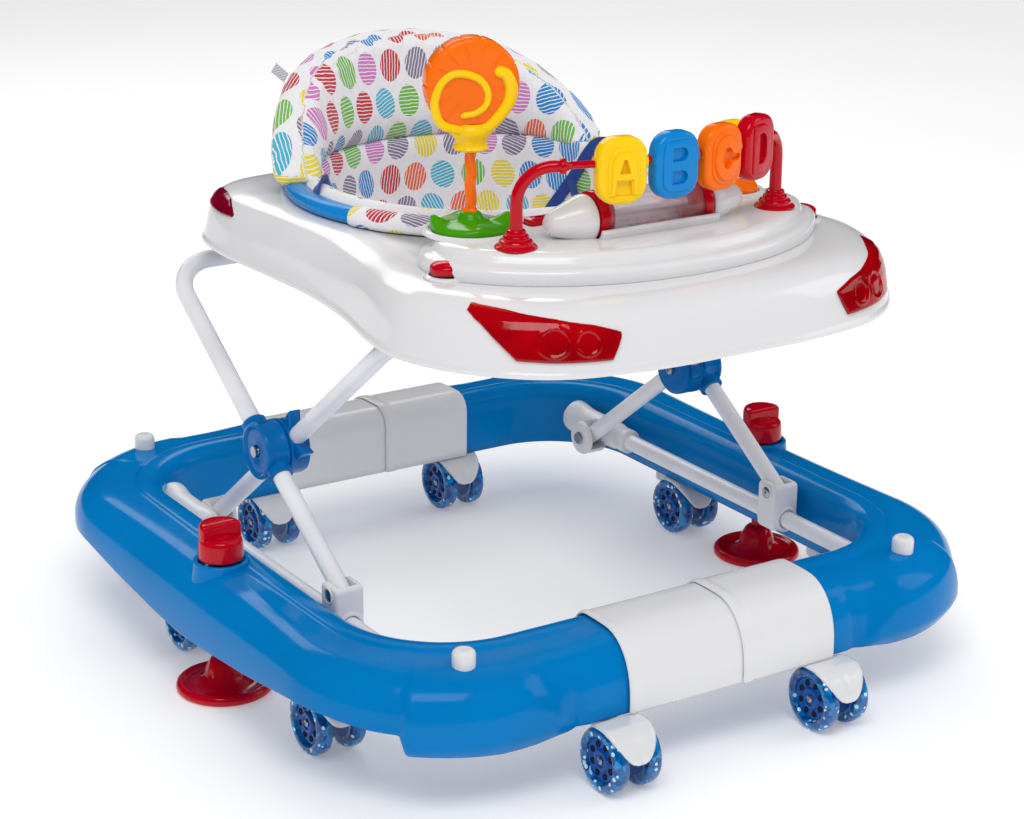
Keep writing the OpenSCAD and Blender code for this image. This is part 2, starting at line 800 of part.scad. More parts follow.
placed() base_left();
placed() base_right();
placed() front_sleeves();
placed() rear_sleeves();
placed() corner_plugs();
placed() rails();
placed() rear_pivot_brackets();
placed() pivot_pins();
placed() stopper_knob_left();
placed() stopper_knob_right();
placed() stopper_foot_left();
placed() stopper_foot_right();
for (i = [1:8]) {
    placed() caster_fork(i);
    placed() caster_wheels(i);
}
placed() front_lift_tube();
placed() hub_inner();
placed() hub_pins();
placed() rear_lift_tube();
placed() hub_outer();
placed() sliders();
placed() tray_shell();
placed() tray_brackets();
placed() headlights();
placed() tail_lights();
placed() console();
placed() latch_left();
placed() latch_right();
placed() music_button();
placed() arch_frame();
placed() arch_grommets();
placed() letter_a();
placed() letter_b();
placed() letter_c();
placed() letter_d();
placed() drum_tube();
placed() drum_caps();
placed() flower_socket();
placed() lollipop_stem();
placed() lollipop_disc();
placed() spinner_base();
placed() spinner_toy();
placed() seat_ring();
placed() seat_fabric();
placed() back_rest();
placed() seat_straps();
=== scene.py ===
"""Looks of the baby walker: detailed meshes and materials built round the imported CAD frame.

Lengths are metres. mm() turns millimetres measured from the middle of the base ring, on the floor,
into a point of the frame; the front of the walker faces -Y.
"""

import json
import math
import random

import bmesh
import bpy
from mathutils import Matrix, Vector, noise


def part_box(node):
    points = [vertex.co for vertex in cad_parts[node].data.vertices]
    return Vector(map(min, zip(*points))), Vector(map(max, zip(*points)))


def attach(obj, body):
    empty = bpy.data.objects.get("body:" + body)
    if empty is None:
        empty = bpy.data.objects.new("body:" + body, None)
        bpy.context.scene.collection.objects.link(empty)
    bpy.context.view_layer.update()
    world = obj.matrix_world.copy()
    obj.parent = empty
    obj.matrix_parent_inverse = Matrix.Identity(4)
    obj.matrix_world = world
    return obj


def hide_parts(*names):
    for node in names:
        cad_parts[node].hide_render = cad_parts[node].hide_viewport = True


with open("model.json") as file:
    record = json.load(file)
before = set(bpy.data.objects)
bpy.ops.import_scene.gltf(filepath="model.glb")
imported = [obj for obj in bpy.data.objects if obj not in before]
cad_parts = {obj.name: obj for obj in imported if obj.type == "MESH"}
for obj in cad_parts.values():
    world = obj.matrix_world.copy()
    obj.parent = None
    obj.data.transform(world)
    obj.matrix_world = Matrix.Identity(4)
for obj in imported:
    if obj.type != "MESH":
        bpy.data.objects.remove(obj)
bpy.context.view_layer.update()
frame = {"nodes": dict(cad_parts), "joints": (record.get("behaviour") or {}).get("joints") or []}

MM = 0.001
TAU = 2 * math.pi
LEFT, RIGHT = -1, 1
SIDES = ((LEFT, "left"), (RIGHT, "right"))
QUARTERS = ((1, 1), (-1, 1), (-1, -1), (1, -1))

base_lo, base_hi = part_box("base_left")
BASE_Y = (base_lo.y + base_hi.y) / 2
BASE_HALF = -base_lo.x / MM
JOINTS = {j["name"]: j for j in frame["joints"]}


def mm(x, y, z):
    """A point given in millimetres from the middle of the base, as a point of the frame."""
    return Vector((x * MM, y * MM + BASE_Y, z * MM))


def joint_mm(name):
    """A joint's place in millimetres from the middle of the base."""
    x, y, z = JOINTS[name]["pos_m"]
    return Vector((x / MM, (y - BASE_Y) / MM, z / MM))


def box_mm(node):
    """A CAD node's two corners in millimetres from the middle of the base."""
    return [Vector((v.x / MM, (v.y - BASE_Y) / MM, v.z / MM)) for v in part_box(node)]


def middle_mm(node):
    lo, hi = box_mm(node)
    return (lo + hi) / 2


def smoothstep(a, b, x):
    t = min(1.0, max(0.0, (x - a) / (b - a)))
    return t * t * (3 - 2 * t)


def lerp_table(table, x):
    """Value at x of a line drawn through (x, value) pairs."""
    if x <= table[0][0]:
        return table[0][1]
    for (x0, v0), (x1, v1) in zip(table, table[1:]):
        if x <= x1:
            return v0 + (v1 - v0) * (x - x0) / (x1 - x0)
    return table[-1][1]


# ---- curves ---------------------------------------------------------------------------


def catmull(a, b, c, d, t):
    return 0.5 * (2 * b + (c - a) * t + (2 * a - 5 * b + 4 * c - d) * t * t
                  + (3 * b - a - 3 * c + d) * t ** 3)


def smooth_loop(points, steps):
    """A closed curve through the points, with that many steps from each to the next."""
    p = [Vector(q) for q in points]
    n = len(p)
    return [catmull(p[i - 1], p[i], p[(i + 1) % n], p[(i + 2) % n], s / steps)
            for i in range(n) for s in range(steps)]


def smooth_path(points, steps):
    """An open curve through the points."""
    p = [Vector(q) for q in points]
    p = [2 * p[0] - p[1]] + p + [2 * p[-1] - p[-2]]
    out = [catmull(*p[i:i + 4], s / steps) for i in range(len(p) - 3) for s in range(steps)]
    return out + [p[-2]]


def mirrored(half):
    """A closed loop from the half on +x; its first and last points lie on x = 0."""
    return list(half) + [(-x, y) for x, y in half[-2:0:-1]]


def arc(cx, cy, r, a0, a1, steps=8):
    """Points of an arc in degrees, as (x, y)."""
    return [(cx + r * math.cos(math.radians(a0 + (a1 - a0) * i / steps)),
             cy + r * math.sin(math.radians(a0 + (a1 - a0) * i / steps)))
            for i in range(steps + 1)]


def moved_in(loop, distance):
    """An anticlockwise loop moved inwards along its normals; distance may be one per point."""
    n = len(loop)
    out = []
    for i, p in enumerate(loop):
        t = (loop[(i + 1) % n] - loop[i - 1]).normalized()
        d = distance[i] if isinstance(distance, list) else distance
        out.append(p + Vector((-t.y, t.x)) * d)
    return out


# ---- meshes ---------------------------------------------------------------------------


def linked(name, data):
    """A new object of the scene that holds the data."""
    obj = bpy.data.objects.new(name, data)
    bpy.context.scene.collection.objects.link(obj)
    return obj


def shade(mesh, sharp):
    """Smooth shading, with edges sharper than an angle in degrees left crisp."""
    mesh.polygons.foreach_set("use_smooth", [True] * len(mesh.polygons))
    mesh.set_sharp_from_angle(angle=math.radians(sharp))


def new_mesh(name, verts, faces, sharp=38, material=None):
    """A shaded object made of vertices in the frame and faces."""
    mesh = bpy.data.meshes.new(name)
    mesh.from_pydata([tuple(v) for v in verts], [], faces)
    mesh.validate()
    bm = bmesh.new()
    bm.from_mesh(mesh)
    bmesh.ops.remove_doubles(bm, verts=bm.verts, dist=1e-6)
    bmesh.ops.recalc_face_normals(bm, faces=bm.faces)
    bm.to_mesh(mesh)
    bm.free()
    shade(mesh, sharp)
    if material:
        mesh.materials.append(material)
    return linked(name, mesh)


def grid_faces(rows, cols, wrap_rows, wrap_cols):
    """Quads between rows of equally many points."""
    faces = []
    for r in range(rows if wrap_rows else rows - 1):
        for c in range(cols if wrap_cols else cols - 1):
            a, b = r * cols + c, r * cols + (c + 1) % cols
            s = (r + 1) % rows * cols
            faces.append((a, b, s + (c + 1) % cols, s + c))
    return faces


def loft(name, rings, caps=(True, True), wrap_rows=False, wrap_cols=True, **kw):
    """A skin through rings of equally many points, closed round each ring."""
    cols = len(rings[0])
    faces = grid_faces(len(rings), cols, wrap_rows, wrap_cols)
    if caps[0] and not wrap_rows:
        faces.append(tuple(range(cols))[::-1])
    if caps[1] and not wrap_rows:
        faces.append(tuple((len(rings) - 1) * cols + c for c in range(cols)))
    return new_mesh(name, [p for ring in rings for p in ring], faces, **kw)


def frame_of(direction):
    """Two unit vectors across a direction."""
    d = Vector(direction).normalized()
    side = d.cross(Vector((0, 0, 1)))
    if side.length < 0.05:
        side = d.cross(Vector((0, 1, 0)))
    side.normalize()
    return side, side.cross(d).normalized()


def lathe(name, origin, axis, profile, steps=48, radius_at=None, **kw):
    """Turns (radius, distance along the axis) pairs, in millimetres, about an axis.
    radius_at(angle, distance) gives a factor on the radius."""
    axis = Vector(axis).normalized()
    u, v = frame_of(axis)
    rings = []
    for r, h in profile:
        ring = []
        for i in range(steps):
            a = TAU * i / steps
            k = radius_at(a, h) if radius_at else 1.0
            ring.append(origin + (axis * h + (u * math.cos(a) + v * math.sin(a)) * r * k) * MM)
        rings.append(ring)
    return loft(name, rings, caps=(False, False), **kw)


def rod(name, origin, axis, radius, half, steps=40, **kw):
    """A plain cylinder that runs half its length to each side of its origin."""
    return lathe(name, origin, axis, [(0, -half), (radius, -half), (radius, half), (0, half)], steps, **kw)


def tube(name, path, radius, sides, **kw):
    """A round tube along points of the frame; radius in metres, one number or one per point."""
    pts = [Vector(p) for p in path]
    rings = []
    u = None
    for i, p in enumerate(pts):
        d = (pts[min(i + 1, len(pts) - 1)] - pts[max(i - 1, 0)]).normalized()
        if u is None:
            u = frame_of(d)[0]
        u = (u - d * u.dot(d)).normalized()
        v = d.cross(u)
        r = radius[i] if isinstance(radius, list) else radius
        rings.append([p + (u * math.cos(TAU * k / sides) + v * math.sin(TAU * k / sides)) * r
                      for k in range(sides)])
    return loft(name, rings, **kw)


def slab(name, outline, low, high, edge, place, steps=4, crown=0.0, **kw):
    """A plate with rounded rims. outline is an anticlockwise loop of (x, y) in millimetres, low and
    high its two faces; place(x, y, z) puts a point in the frame; crown lifts the top's middle."""
    loop = [Vector(p) for p in outline]
    rings = []
    for k in range(steps + 1):
        a = math.pi / 2 * k / steps
        rings.append((edge * (1 - math.sin(a)), low + edge * (1 - math.cos(a))))
    for k in range(steps + 1):
        a = math.pi / 2 * k / steps
        rings.append((edge * (1 - math.cos(a)), high - edge * (1 - math.sin(a))))
    if crown:
        for k in (1, 2, 3):
            rings.append((edge + crown * 2.2 * k, high + crown * (1 - (1 - k / 3) ** 2)))
    skin = [[place(p.x, p.y, z) for p in moved_in(loop, d)] for d, z in rings]
    return loft(name, skin, **kw)


def bevelled(obj, width, segments=3, angle=30):
    """Rounds an object's sharp edges."""
    m = obj.modifiers.new("bevel", "BEVEL")
    m.width = width * MM
    m.segments = segments
    m.limit_method = "ANGLE"
    m.angle_limit = math.radians(angle)
    return obj


def thickened(obj, thickness):
    """Gives a skin a wall that grows inwards."""
    m = obj.modifiers.new("wall", "SOLIDIFY")
    m.thickness = thickness * MM
    m.offset = -1
    return obj


def cut(obj, tool, operation="DIFFERENCE"):
    """Takes the tool's solid out of the object, or adds it with UNION, and removes the tool."""
    m = obj.modifiers.new("cut", "BOOLEAN")
    m.operation = operation
    m.solver = "EXACT"
    m.object = tool
    apply_modifiers(obj)
    bpy.data.objects.remove(tool)


def apply_modifiers(obj, sharp=38):
    """Bakes the modifiers into the object's own mesh."""
    graph = bpy.context.evaluated_depsgraph_get()
    mesh = bpy.data.meshes.new_from_object(obj.evaluated_get(graph))
    obj.modifiers.clear()
    obj.data = mesh
    shade(mesh, sharp)


def joined(name, *objs):
    """Several objects as one piece, keeping their materials."""
    bm = bmesh.new()
    materials = []
    for o in objs:
        graph = bpy.context.evaluated_depsgraph_get()
        mesh = bpy.data.meshes.new_from_object(o.evaluated_get(graph))
        mesh.transform(o.matrix_world)
        slots = []
        for m in o.data.materials:
            if m not in materials:
                materials.append(m)
            slots.append(materials.index(m))
        for poly in mesh.polygons:
            poly.material_index = slots[poly.material_index] if slots else 0
        bm.from_mesh(mesh)
        bpy.data.objects.remove(o)
    mesh = bpy.data.meshes.new(name)
    bm.to_mesh(mesh)
    bm.free()
    for m in materials:
        mesh.materials.append(m)
    return linked(name, mesh)


def mirror_copy(obj, name):
    """A copy of the object's mesh, mirrored across the walker's middle plane, x = 0."""
    mesh = obj.data.copy()
    mesh.transform(Matrix.Scale(-1, 4, (1, 0, 0)))
    mesh.flip_normals()
    return linked(name, mesh)


def piece(obj, body, slot, *nodes):
    """Makes the object a piece of the walker: its body and the nodes it stands for; slot is not used."""
    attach(obj, body)
    if nodes:
        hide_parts(*nodes)
    return obj


# ---- materials ------------------------------------------------------------------------


def srgb(r, g, b):
    """A colour given as 0 to 255 screen values, for a shader."""
    def linear(c):
        c /= 255
        return c / 12.92 if c <= 0.04045 else ((c + 0.055) / 1.055) ** 2.4
    return (linear(r), linear(g), linear(b), 1.0)


class Nodes:
    """Short names for building a material's node tree."""

    def __init__(self, name):
        self.material = bpy.data.materials.new(name)
        self.material.use_nodes = True
        self.tree = self.material.node_tree
        self.shader = self.tree.nodes["Principled BSDF"]
        self.coords = self.add("ShaderNodeTexCoord")

    def add(self, kind, **settings):
        node = self.tree.nodes.new(kind)
        for key, value in settings.items():
            setattr(node, key, value)
        return node

    def link(self, source, target):
        self.tree.links.new(source, target)

    def feed(self, socket, value):
        """Gives a socket a number, a colour or another node's output."""
        if isinstance(value, bpy.types.NodeSocket):
            self.link(value, socket)
        else:
            socket.default_value = value

    def math(self, operation, a, b=0.0, c=0.0):
        node = self.add("ShaderNodeMath", operation=operation)
        for socket, value in zip(node.inputs, (a, b, c)):
            self.feed(socket, value)
        return node.outputs[0]

    def noise(self, scale, detail=3.0, vector=None, roughness=0.5):
        node = self.add("ShaderNodeTexNoise")
        node.inputs["Scale"].default_value = scale
        node.inputs["Detail"].default_value = detail
        node.inputs["Roughness"].default_value = roughness
        self.link(vector or self.coords.outputs["Object"], node.inputs["Vector"])
        return node.outputs["Fac"]

    def span(self, value, low, high, start=0.0, end=1.0):
        """Maps start..end to low..high."""
        node = self.add("ShaderNodeMapRange")
        self.feed(node.inputs["Value"], value)
        node.inputs["From Min"].default_value = start
        node.inputs["From Max"].default_value = end
        node.inputs["To Min"].default_value = low
        node.inputs["To Max"].default_value = high
        return node.outputs["Result"]

    def mix(self, factor, a, b):
        """Mixes two colours."""
        node = self.add("ShaderNodeMix", data_type="RGBA")
        self.feed(node.inputs["Factor"], factor)
        self.feed(node.inputs["A"], a)
        self.feed(node.inputs["B"], b)
        return node.outputs["Result"]

    def bump(self, height, strength, distance):
        node = self.add("ShaderNodeBump")
        node.inputs["Strength"].default_value = strength
        node.inputs["Distance"].default_value = distance
        self.link(height, node.inputs["Height"])
        self.link(node.outputs["Normal"], self.shader.inputs["Normal"])

    def set(self, **values):
        for key, value in values.items():
            self.feed(self.shader.inputs[key.replace("_", " ")], value)


def shaded(colour, factor):
    return tuple(c * factor for c in colour[:3]) + (1.0,)


def plastic(name, colour, roughness, coat, grain=0.03, soft=0.0, tint=0.06, gloss=0.2, scuff=1.0):
    """Moulded gloss plastic: flow marks in its colour, fine dents, and rubbed patches."""
    n = Nodes(name)
    flow = n.noise(9.0, 2.0)
    n.set(Base_Color=n.mix(n.span(flow, 0.0, 1.0, 0.3, 0.7),
                           shaded(colour, 1 - tint), shaded(colour, 1 + tint)))
    polished, rubbed = roughness * (1 - 0.12 * scuff), roughness * (1 + 0.2 * scuff)
    n.set(Roughness=n.span(n.noise(60.0, 5.0), polished, rubbed, 0.35, 0.75))
    n.set(Coat_Weight=coat, Coat_Roughness=0.06, Specular_IOR_Level=gloss)
    if soft:
        n.set(Subsurface_Weight=soft, Subsurface_Scale=0.004)
        n.shader.inputs["Subsurface Radius"].default_value = (1.0, 0.8, 0.7)
    peel = n.math("ADD", n.noise(320.0, 2.0), n.math("MULTIPLY", n.noise(24.0, 0.0), 2.0))
    n.bump(peel, grain, 0.001)
    return n.material


def painted_tube(name):
    """White powder coat on steel: a fine even grain, faint dusting, soft gloss."""
    n = Nodes(name)
    dust = n.noise(14.0, 4.0)
    n.set(Base_Color=n.mix(n.span(dust, 0.0, 1.0, 0.35, 0.7), srgb(226, 226, 232), srgb(240, 240, 244)))
    n.set(Roughness=n.span(n.noise(90.0, 3.0), 0.26, 0.38))
    n.set(Coat_Weight=0.25, Coat_Roughness=0.12)
    n.bump(n.noise(650.0, 2.0), 0.05, 0.0005)
    return n.material


def zinc(name):
    """Zinc-plated screw steel with turning marks."""
    n = Nodes(name)
    n.set(Base_Color=n.mix(n.noise(220.0, 3.0), srgb(140, 142, 148), srgb(205, 206, 210)))
    n.set(Metallic=1.0, Roughness=n.span(n.noise(500.0, 2.0), 0.22, 0.42))
    n.bump(n.noise(900.0, 2.0), 0.08, 0.0004)
    return n.material


def glitter_tyre(name):
    """Clear blue wheel moulding full of bright flecks and bubbles."""
    n = Nodes(name)
    cells = n.add("ShaderNodeTexVoronoi")
    cells.inputs["Scale"].default_value = 240.0
    n.link(n.coords.outputs["Object"], cells.inputs["Vector"])
    split = n.add("ShaderNodeSeparateColor")
    n.link(cells.outputs["Color"], split.inputs["Color"])
    fleck = n.math("GREATER_THAN", split.outputs[0], 0.86)
    core = n.math("LESS_THAN", cells.outputs["Distance"], 0.46)
    bright = n.math("MULTIPLY", fleck, core)
    facet = n.math("MULTIPLY", split.outputs[1], split.outputs[1])
    deep = n.mix(facet, srgb(0, 66, 136), srgb(0, 144, 212))
    n.set(Base_Color=n.mix(bright, deep, srgb(190, 228, 248)))
    n.set(Roughness=n.span(n.noise(90.0, 3.0), 0.06, 0.16), Coat_Weight=0.5, Coat_Roughness=0.03)
    n.set(Specular_IOR_Level=0.45, Subsurface_Weight=0.12, Subsurface_Scale=0.006)
    n.bump(n.math("ADD", split.outputs[2], n.math("MULTIPLY", cells.outputs["Distance"], 0.6)), 0.3, 0.001)
    return n.material


def lens(name, colour, deep, transmission):
    """Translucent coloured lens over a reflector, with moulded flutes behind its face."""
    n = Nodes(name)
    wash = n.noise(26.0, 2.0)
    n.set(Base_Color=n.mix(n.span(wash, 0.0, 1.0, 0.35, 0.7), deep, colour))
    n.set(Roughness=n.span(n.noise(80.0, 3.0), 0.06, 0.14))
    n.set(Transmission_Weight=transmission, IOR=1.49, Coat_Weight=0.2, Coat_Roughness=0.03)
    n.set(Specular_IOR_Level=0.25)
    n.bump(n.noise(50.0, 2.0), 0.06, 0.002)
    return n.material


def clear_plastic(name):
    """Clear, faintly pink drum tube with flow lines."""
    n = Nodes(name)
    n.set(Base_Color=n.mix(n.noise(30.0, 2.0), srgb(250, 238, 246), srgb(255, 250, 253)))
    n.set(Roughness=n.span(n.noise(70.0, 3.0), 0.02, 0.07))
    n.set(Transmission_Weight=0.92, IOR=1.3, Coat_Weight=0.4, Coat_Roughness=0.02, Alpha=0.6)
    n.bump(n.noise(40.0, 1.0), 0.05, 0.002)
    return n.material


# The print, in metres of cloth: distances between ovals, their half sizes, stripes and threads
PRINT_COLOURS = [(60, 178, 208), (0, 132, 205), (232, 214, 40), (110, 186, 62), (206, 120, 190),
                 (200, 32, 48), (232, 98, 40), (128, 118, 148)]
OVAL_PITCH = (0.0300, 0.0335)
OVAL_HALF = (0.0120, 0.0147)
STRIPE_PITCH = 0.0033
THREAD_PITCH = 0.0007


def printed_cotton(name):
    """White cotton printed with rows of striped ovals. The mesh's UV map is in metres of cloth."""
    n = Nodes(name)
    uv = n.add("ShaderNodeSeparateXYZ")
    n.link(n.coords.outputs["UV"], uv.inputs[0])
    cv = n.math("DIVIDE", uv.outputs["Y"], OVAL_PITCH[1])
    row = n.math("FLOOR", cv)
    cu = n.math("MULTIPLY_ADD", row, 0.41, n.math("DIVIDE", uv.outputs["X"], OVAL_PITCH[0]))
    cell = n.add("ShaderNodeCombineXYZ")
    n.link(n.math("FLOOR", cu), cell.inputs[0])
    n.link(row, cell.inputs[1])
    dice = n.add("ShaderNodeTexWhiteNoise", noise_dimensions="3D")
    n.link(cell.outputs[0], dice.inputs["Vector"])
    random3 = n.add("ShaderNodeSeparateColor")
    n.link(dice.outputs["Color"], random3.inputs["Color"])
    r1, r2, r3 = random3.outputs
    shift = n.math("MULTIPLY_ADD", r2, 0.0030, -0.0015)
    x = n.math("MULTIPLY_ADD", n.math("SUBTRACT", n.math("FRACT", cu), 0.5), OVAL_PITCH[0], shift)
    y = n.math("MULTIPLY", n.math("SUBTRACT", n.math("FRACT", cv), 0.5), OVAL_PITCH[1])
    tilt = n.math("MULTIPLY_ADD", r1, 0.8, -0.4)
    cosine, sine = n.math("COSINE", tilt), n.math("SINE", tilt)
    xt = n.math("ADD", n.math("MULTIPLY", x, cosine), n.math("MULTIPLY", y, sine))
    yt = n.math("SUBTRACT", n.math("MULTIPLY", y, cosine), n.math("MULTIPLY", x, sine))
    ex, ey = n.math("DIVIDE", xt, OVAL_HALF[0]), n.math("DIVIDE", yt, OVAL_HALF[1])
    radius = n.math("ADD", n.math("MULTIPLY", ex, ex), n.math("MULTIPLY", ey, ey))
    inside = n.math("LESS_THAN", radius, 1.0)
    wobble = n.math("MULTIPLY_ADD", n.noise(130.0, 2.0), 0.0022, -0.0011)
    across = n.math("GREATER_THAN", r3, 0.45)
    along = n.math("ADD", n.math("MULTIPLY", yt, across),
                   n.math("MULTIPLY", xt, n.math("SUBTRACT", 1.0, across)))
    stripe = n.math("FRACT", n.math("DIVIDE", n.math("ADD", along, wobble), STRIPE_PITCH))
    ink = n.math("MULTIPLY", inside, n.math("GREATER_THAN", stripe, 0.27))
    ramp = n.add("ShaderNodeValToRGB")
    ramp.color_ramp.interpolation = "CONSTANT"
    while len(ramp.color_ramp.elements) < len(PRINT_COLOURS):
        ramp.color_ramp.elements.new(0.5)
    for i, (element, colour) in enumerate(zip(ramp.color_ramp.elements, PRINT_COLOURS)):
        element.position = i / len(PRINT_COLOURS)
        element.color = srgb(*colour)
    n.link(dice.outputs["Value"], ramp.inputs["Fac"])
    cloth = n.mix(n.noise(300.0, 3.0), srgb(226, 225, 230), srgb(243, 243, 246))
    n.set(Base_Color=n.mix(ink, cloth, ramp.outputs["Color"]))
    n.set(Roughness=n.span(n.noise(220.0, 3.0), 0.72, 0.92), Sheen_Weight=0.25, Sheen_Roughness=0.5)
    weave = n.add("ShaderNodeVectorMath", operation="SCALE")
    weave.inputs["Scale"].default_value = TAU / THREAD_PITCH
    n.link(n.coords.outputs["UV"], weave.inputs[0])
    threads = n.add("ShaderNodeSeparateXYZ")
    n.link(weave.outputs[0], threads.inputs[0])
    warp, weft = n.math("SINE", threads.outputs["X"]), n.math("SINE", threads.outputs["Y"])
    n.bump(n.math("ADD", n.math("MULTIPLY", warp, weft), n.math("MULTIPLY", n.noise(45.0, 4.0), 6.0)),
           0.16, 0.0006)
    return n.material


def webbing(name, colour):
    """Woven polyester strap."""
    n = Nodes(name)
    wave = n.add("ShaderNodeTexWave", wave_type="BANDS", bands_direction="Z")
    wave.inputs["Scale"].default_value = 190.0
    wave.inputs["Distortion"].default_value = 1.2
    n.link(n.coords.outputs["Object"], wave.inputs["Vector"])
    n.set(Base_Color=n.mix(wave.outputs["Fac"], shaded(colour, 0.7), shaded(colour, 1.2)))
    n.set(Roughness=n.span(n.noise(200.0, 3.0), 0.55, 0.8), Sheen_Weight=0.3)
    n.bump(wave.outputs["Fac"], 0.4, 0.0005)
    return n.material


BLUE = plastic("ring_blue_gloss", srgb(0, 121, 192), 0.13, 0.03, soft=0.03, gloss=0.1)
HUB_BLUE = plastic("hub_blue_gloss", srgb(0, 104, 176), 0.2, 0.04, soft=0.04, gloss=0.12)
WHITE = plastic("white_gloss", srgb(225, 225, 227), 0.16, 0.25, 0.02, soft=0.06, tint=0.012, gloss=0.4)
SLEEVE_WHITE = plastic("sleeve_white", srgb(226, 226, 229), 0.24, 0.15, 0.004, tint=0.006, scuff=0.15)
RED = plastic("red_gloss", srgb(190, 0, 26), 0.14, 0.2, soft=0.04)
YELLOW = plastic("yellow_gloss", srgb(250, 204, 10), 0.24, 0.1, soft=0.1)
TOY_BLUE = plastic("toy_blue_gloss", srgb(0, 130, 204), 0.24, 0.1, soft=0.05)
ORANGE = plastic("orange_gloss", srgb(250, 112, 2), 0.24, 0.1, soft=0.1)
GREEN = plastic("green_gloss", srgb(66, 152, 8), 0.2, 0.12, soft=0.06)
SEAT_BLUE = plastic("seat_ring_blue", srgb(6, 132, 208), 0.26, 0.1, soft=0.05)
WHEEL_HUB = plastic("wheel_hub_blue", srgb(0, 78, 158), 0.18, 0.3, 0.04, soft=0.05)
# Painted shade: a near-black blue that stands for the shade inside the wheels' holes
HOLE_SHADE_PAINT = plastic("painted_hole_shade", srgb(8, 26, 60), 0.5, 0.0, 0.02)
TUBE_WHITE = painted_tube("tube_powder_coat")
ZINC = zinc("zinc_plate")
TYRE = glitter_tyre("wheel_glitter")
RED_LENS = lens("red_lens", srgb(188, 0, 14), srgb(150, 0, 10), 0.12)
TAIL_LENS = lens("tail_lens", srgb(160, 6, 44), srgb(110, 4, 34), 0.08)
CLEAR = clear_plastic("clear_drum")
PRINT = printed_cotton("printed_cotton")
NAVY = webbing("navy_webbing", srgb(8, 62, 150))
TAG_CLOTH = webbing("tag_cloth", srgb(188, 190, 198))


# ---- studio ---------------------------------------------------------------------------

CAMERA_AT = Vector((-1.1387, -1.7480, 0.9187))
CAMERA_AZIMUTH, CAMERA_ELEVATION, CAMERA_ROLL = -33.017, 18.879, 0.537
CAMERA_LENS = 85.84
FLOOR_HALF = 9
SKY_STRENGTH = 0.66
# Soft boxes: name, place, aimed at, size in metres, watts
SOFT_BOXES = (("key", (-0.9, -1.3, 2.3), (0, 0, 0.2), (1.5, 1.0), 22),
              ("fill", (2.2, -1.2, 1.5), (0, 0, 0.25), (1.2, 1.4), 9),
              ("back", (0.6, 2.4, 1.9), (0, 0, 0.3), (2.0, 0.8), 14))


def make_camera():
    data = bpy.data.cameras.new("camera")
    data.lens = CAMERA_LENS
    data.sensor_width = 36.0
    data.clip_start, data.clip_end = 0.1, 20.0
    camera = linked("camera", data)
    a, e, r = (math.radians(x) for x in (CAMERA_AZIMUTH, CAMERA_ELEVATION, CAMERA_ROLL))
    back = Vector((math.sin(a) * math.cos(e), -math.cos(a) * math.cos(e), math.sin(e)))
    right = Vector((math.cos(a), math.sin(a), 0))
    up = back.cross(right)
    x = right * math.cos(r) + up * math.sin(r)
    y = up * math.cos(r) - right * math.sin(r)
    camera.matrix_world = Matrix.Translation(CAMERA_AT) @ Matrix((x, y, back)).transposed().to_4x4()
    bpy.context.scene.camera = camera


def area_light(name, at, aim, size, power):
    data = bpy.data.lights.new(name, "AREA")
    data.shape = "RECTANGLE"
    data.size, data.size_y = size
    data.energy = power
    light = linked(name, data)
    light.location = at
    light.rotation_euler = (Vector(at) - Vector(aim)).to_track_quat("Z", "Y").to_euler()


def make_studio():
    """A pale floor that runs on past the view, an even white sky and soft boxes."""
    n = Nodes("studio_floor")
    n.set(Base_Color=n.mix(n.noise(2.0, 2.0), srgb(244, 244, 244), srgb(250, 250, 250)), Roughness=0.75)
    n.set(Specular_IOR_Level=0.2, Emission_Color=(1.0, 1.0, 1.0, 1.0), Emission_Strength=0.2)
    corners = [(x * FLOOR_HALF, y * FLOOR_HALF, 0) for x, y in ((-1, -1), (1, -1), (1, 1), (-1, 1))]
    floor = new_mesh("floor", corners, [(0, 1, 2, 3)], material=n.material)
    world = bpy.data.worlds.new("studio")
    bpy.context.scene.world = world
    world.use_nodes = True
    sky = world.node_tree.nodes["Background"]
    sky.inputs["Color"].default_value = (1.0, 1.0, 1.0, 1.0)
    sky.inputs["Strength"].default_value = SKY_STRENGTH
    world.cycles_visibility.glossy = False
    for box in SOFT_BOXES:
        area_light(*box)
    view = bpy.context.scene.view_settings
    view.view_transform = "Standard"
    view.look = "None"


# ---- base ring ------------------------------------------------------------------------

BEAM_TOP = base_hi.z / MM - 3          # the collar stands 3 mm above the beam
BEAM_LOW = 57                          # lower edge along the straight beams
BEAM_W = 76
INNER_HALF = BASE_HALF - BEAM_W
OUTER_R, INNER_R = 140, 90             # corner radii, seen from above
OUTER_C, INNER_C = BASE_HALF - OUTER_R, INNER_HALF - INNER_R
SEAM_HALF = 0.3
HIP_R = 37                             # the round of the beam's outer top
RIM_R = 14                             # the round of its inner top
NOTCH_P = 0.745                        # where the corner lobe's crease crosses the front beam


def ring_stations():
    """Quarter of the ring from the front seam to the middle of the side: (p, inner, outer), where p
    runs 0 to 1 along the front, 1 to 2 round the corner and 2 to 3 along the side."""
    out = []
    for i in range(44):
        t = i / 44
        out.append((t, (SEAM_HALF + (INNER_C - SEAM_HALF) * t, -INNER_HALF),
                    (SEAM_HALF + (OUTER_C - SEAM_HALF) * t, -BASE_HALF)))
    for i in range(90):
        t = i / 90
        a = math.radians(-90 + 90 * t)
        out.append((1 + t, (INNER_C + INNER_R * math.cos(a), -INNER_C + INNER_R * math.sin(a)),
                    (OUTER_C + OUTER_R * math.cos(a), -OUTER_C + OUTER_R * math.sin(a))))
    for i in range(23):
        t = i / 22
        out.append((2 + t, (INNER_HALF, -INNER_C * (1 - t)), (BASE_HALF, -OUTER_C * (1 - t))))
    return out


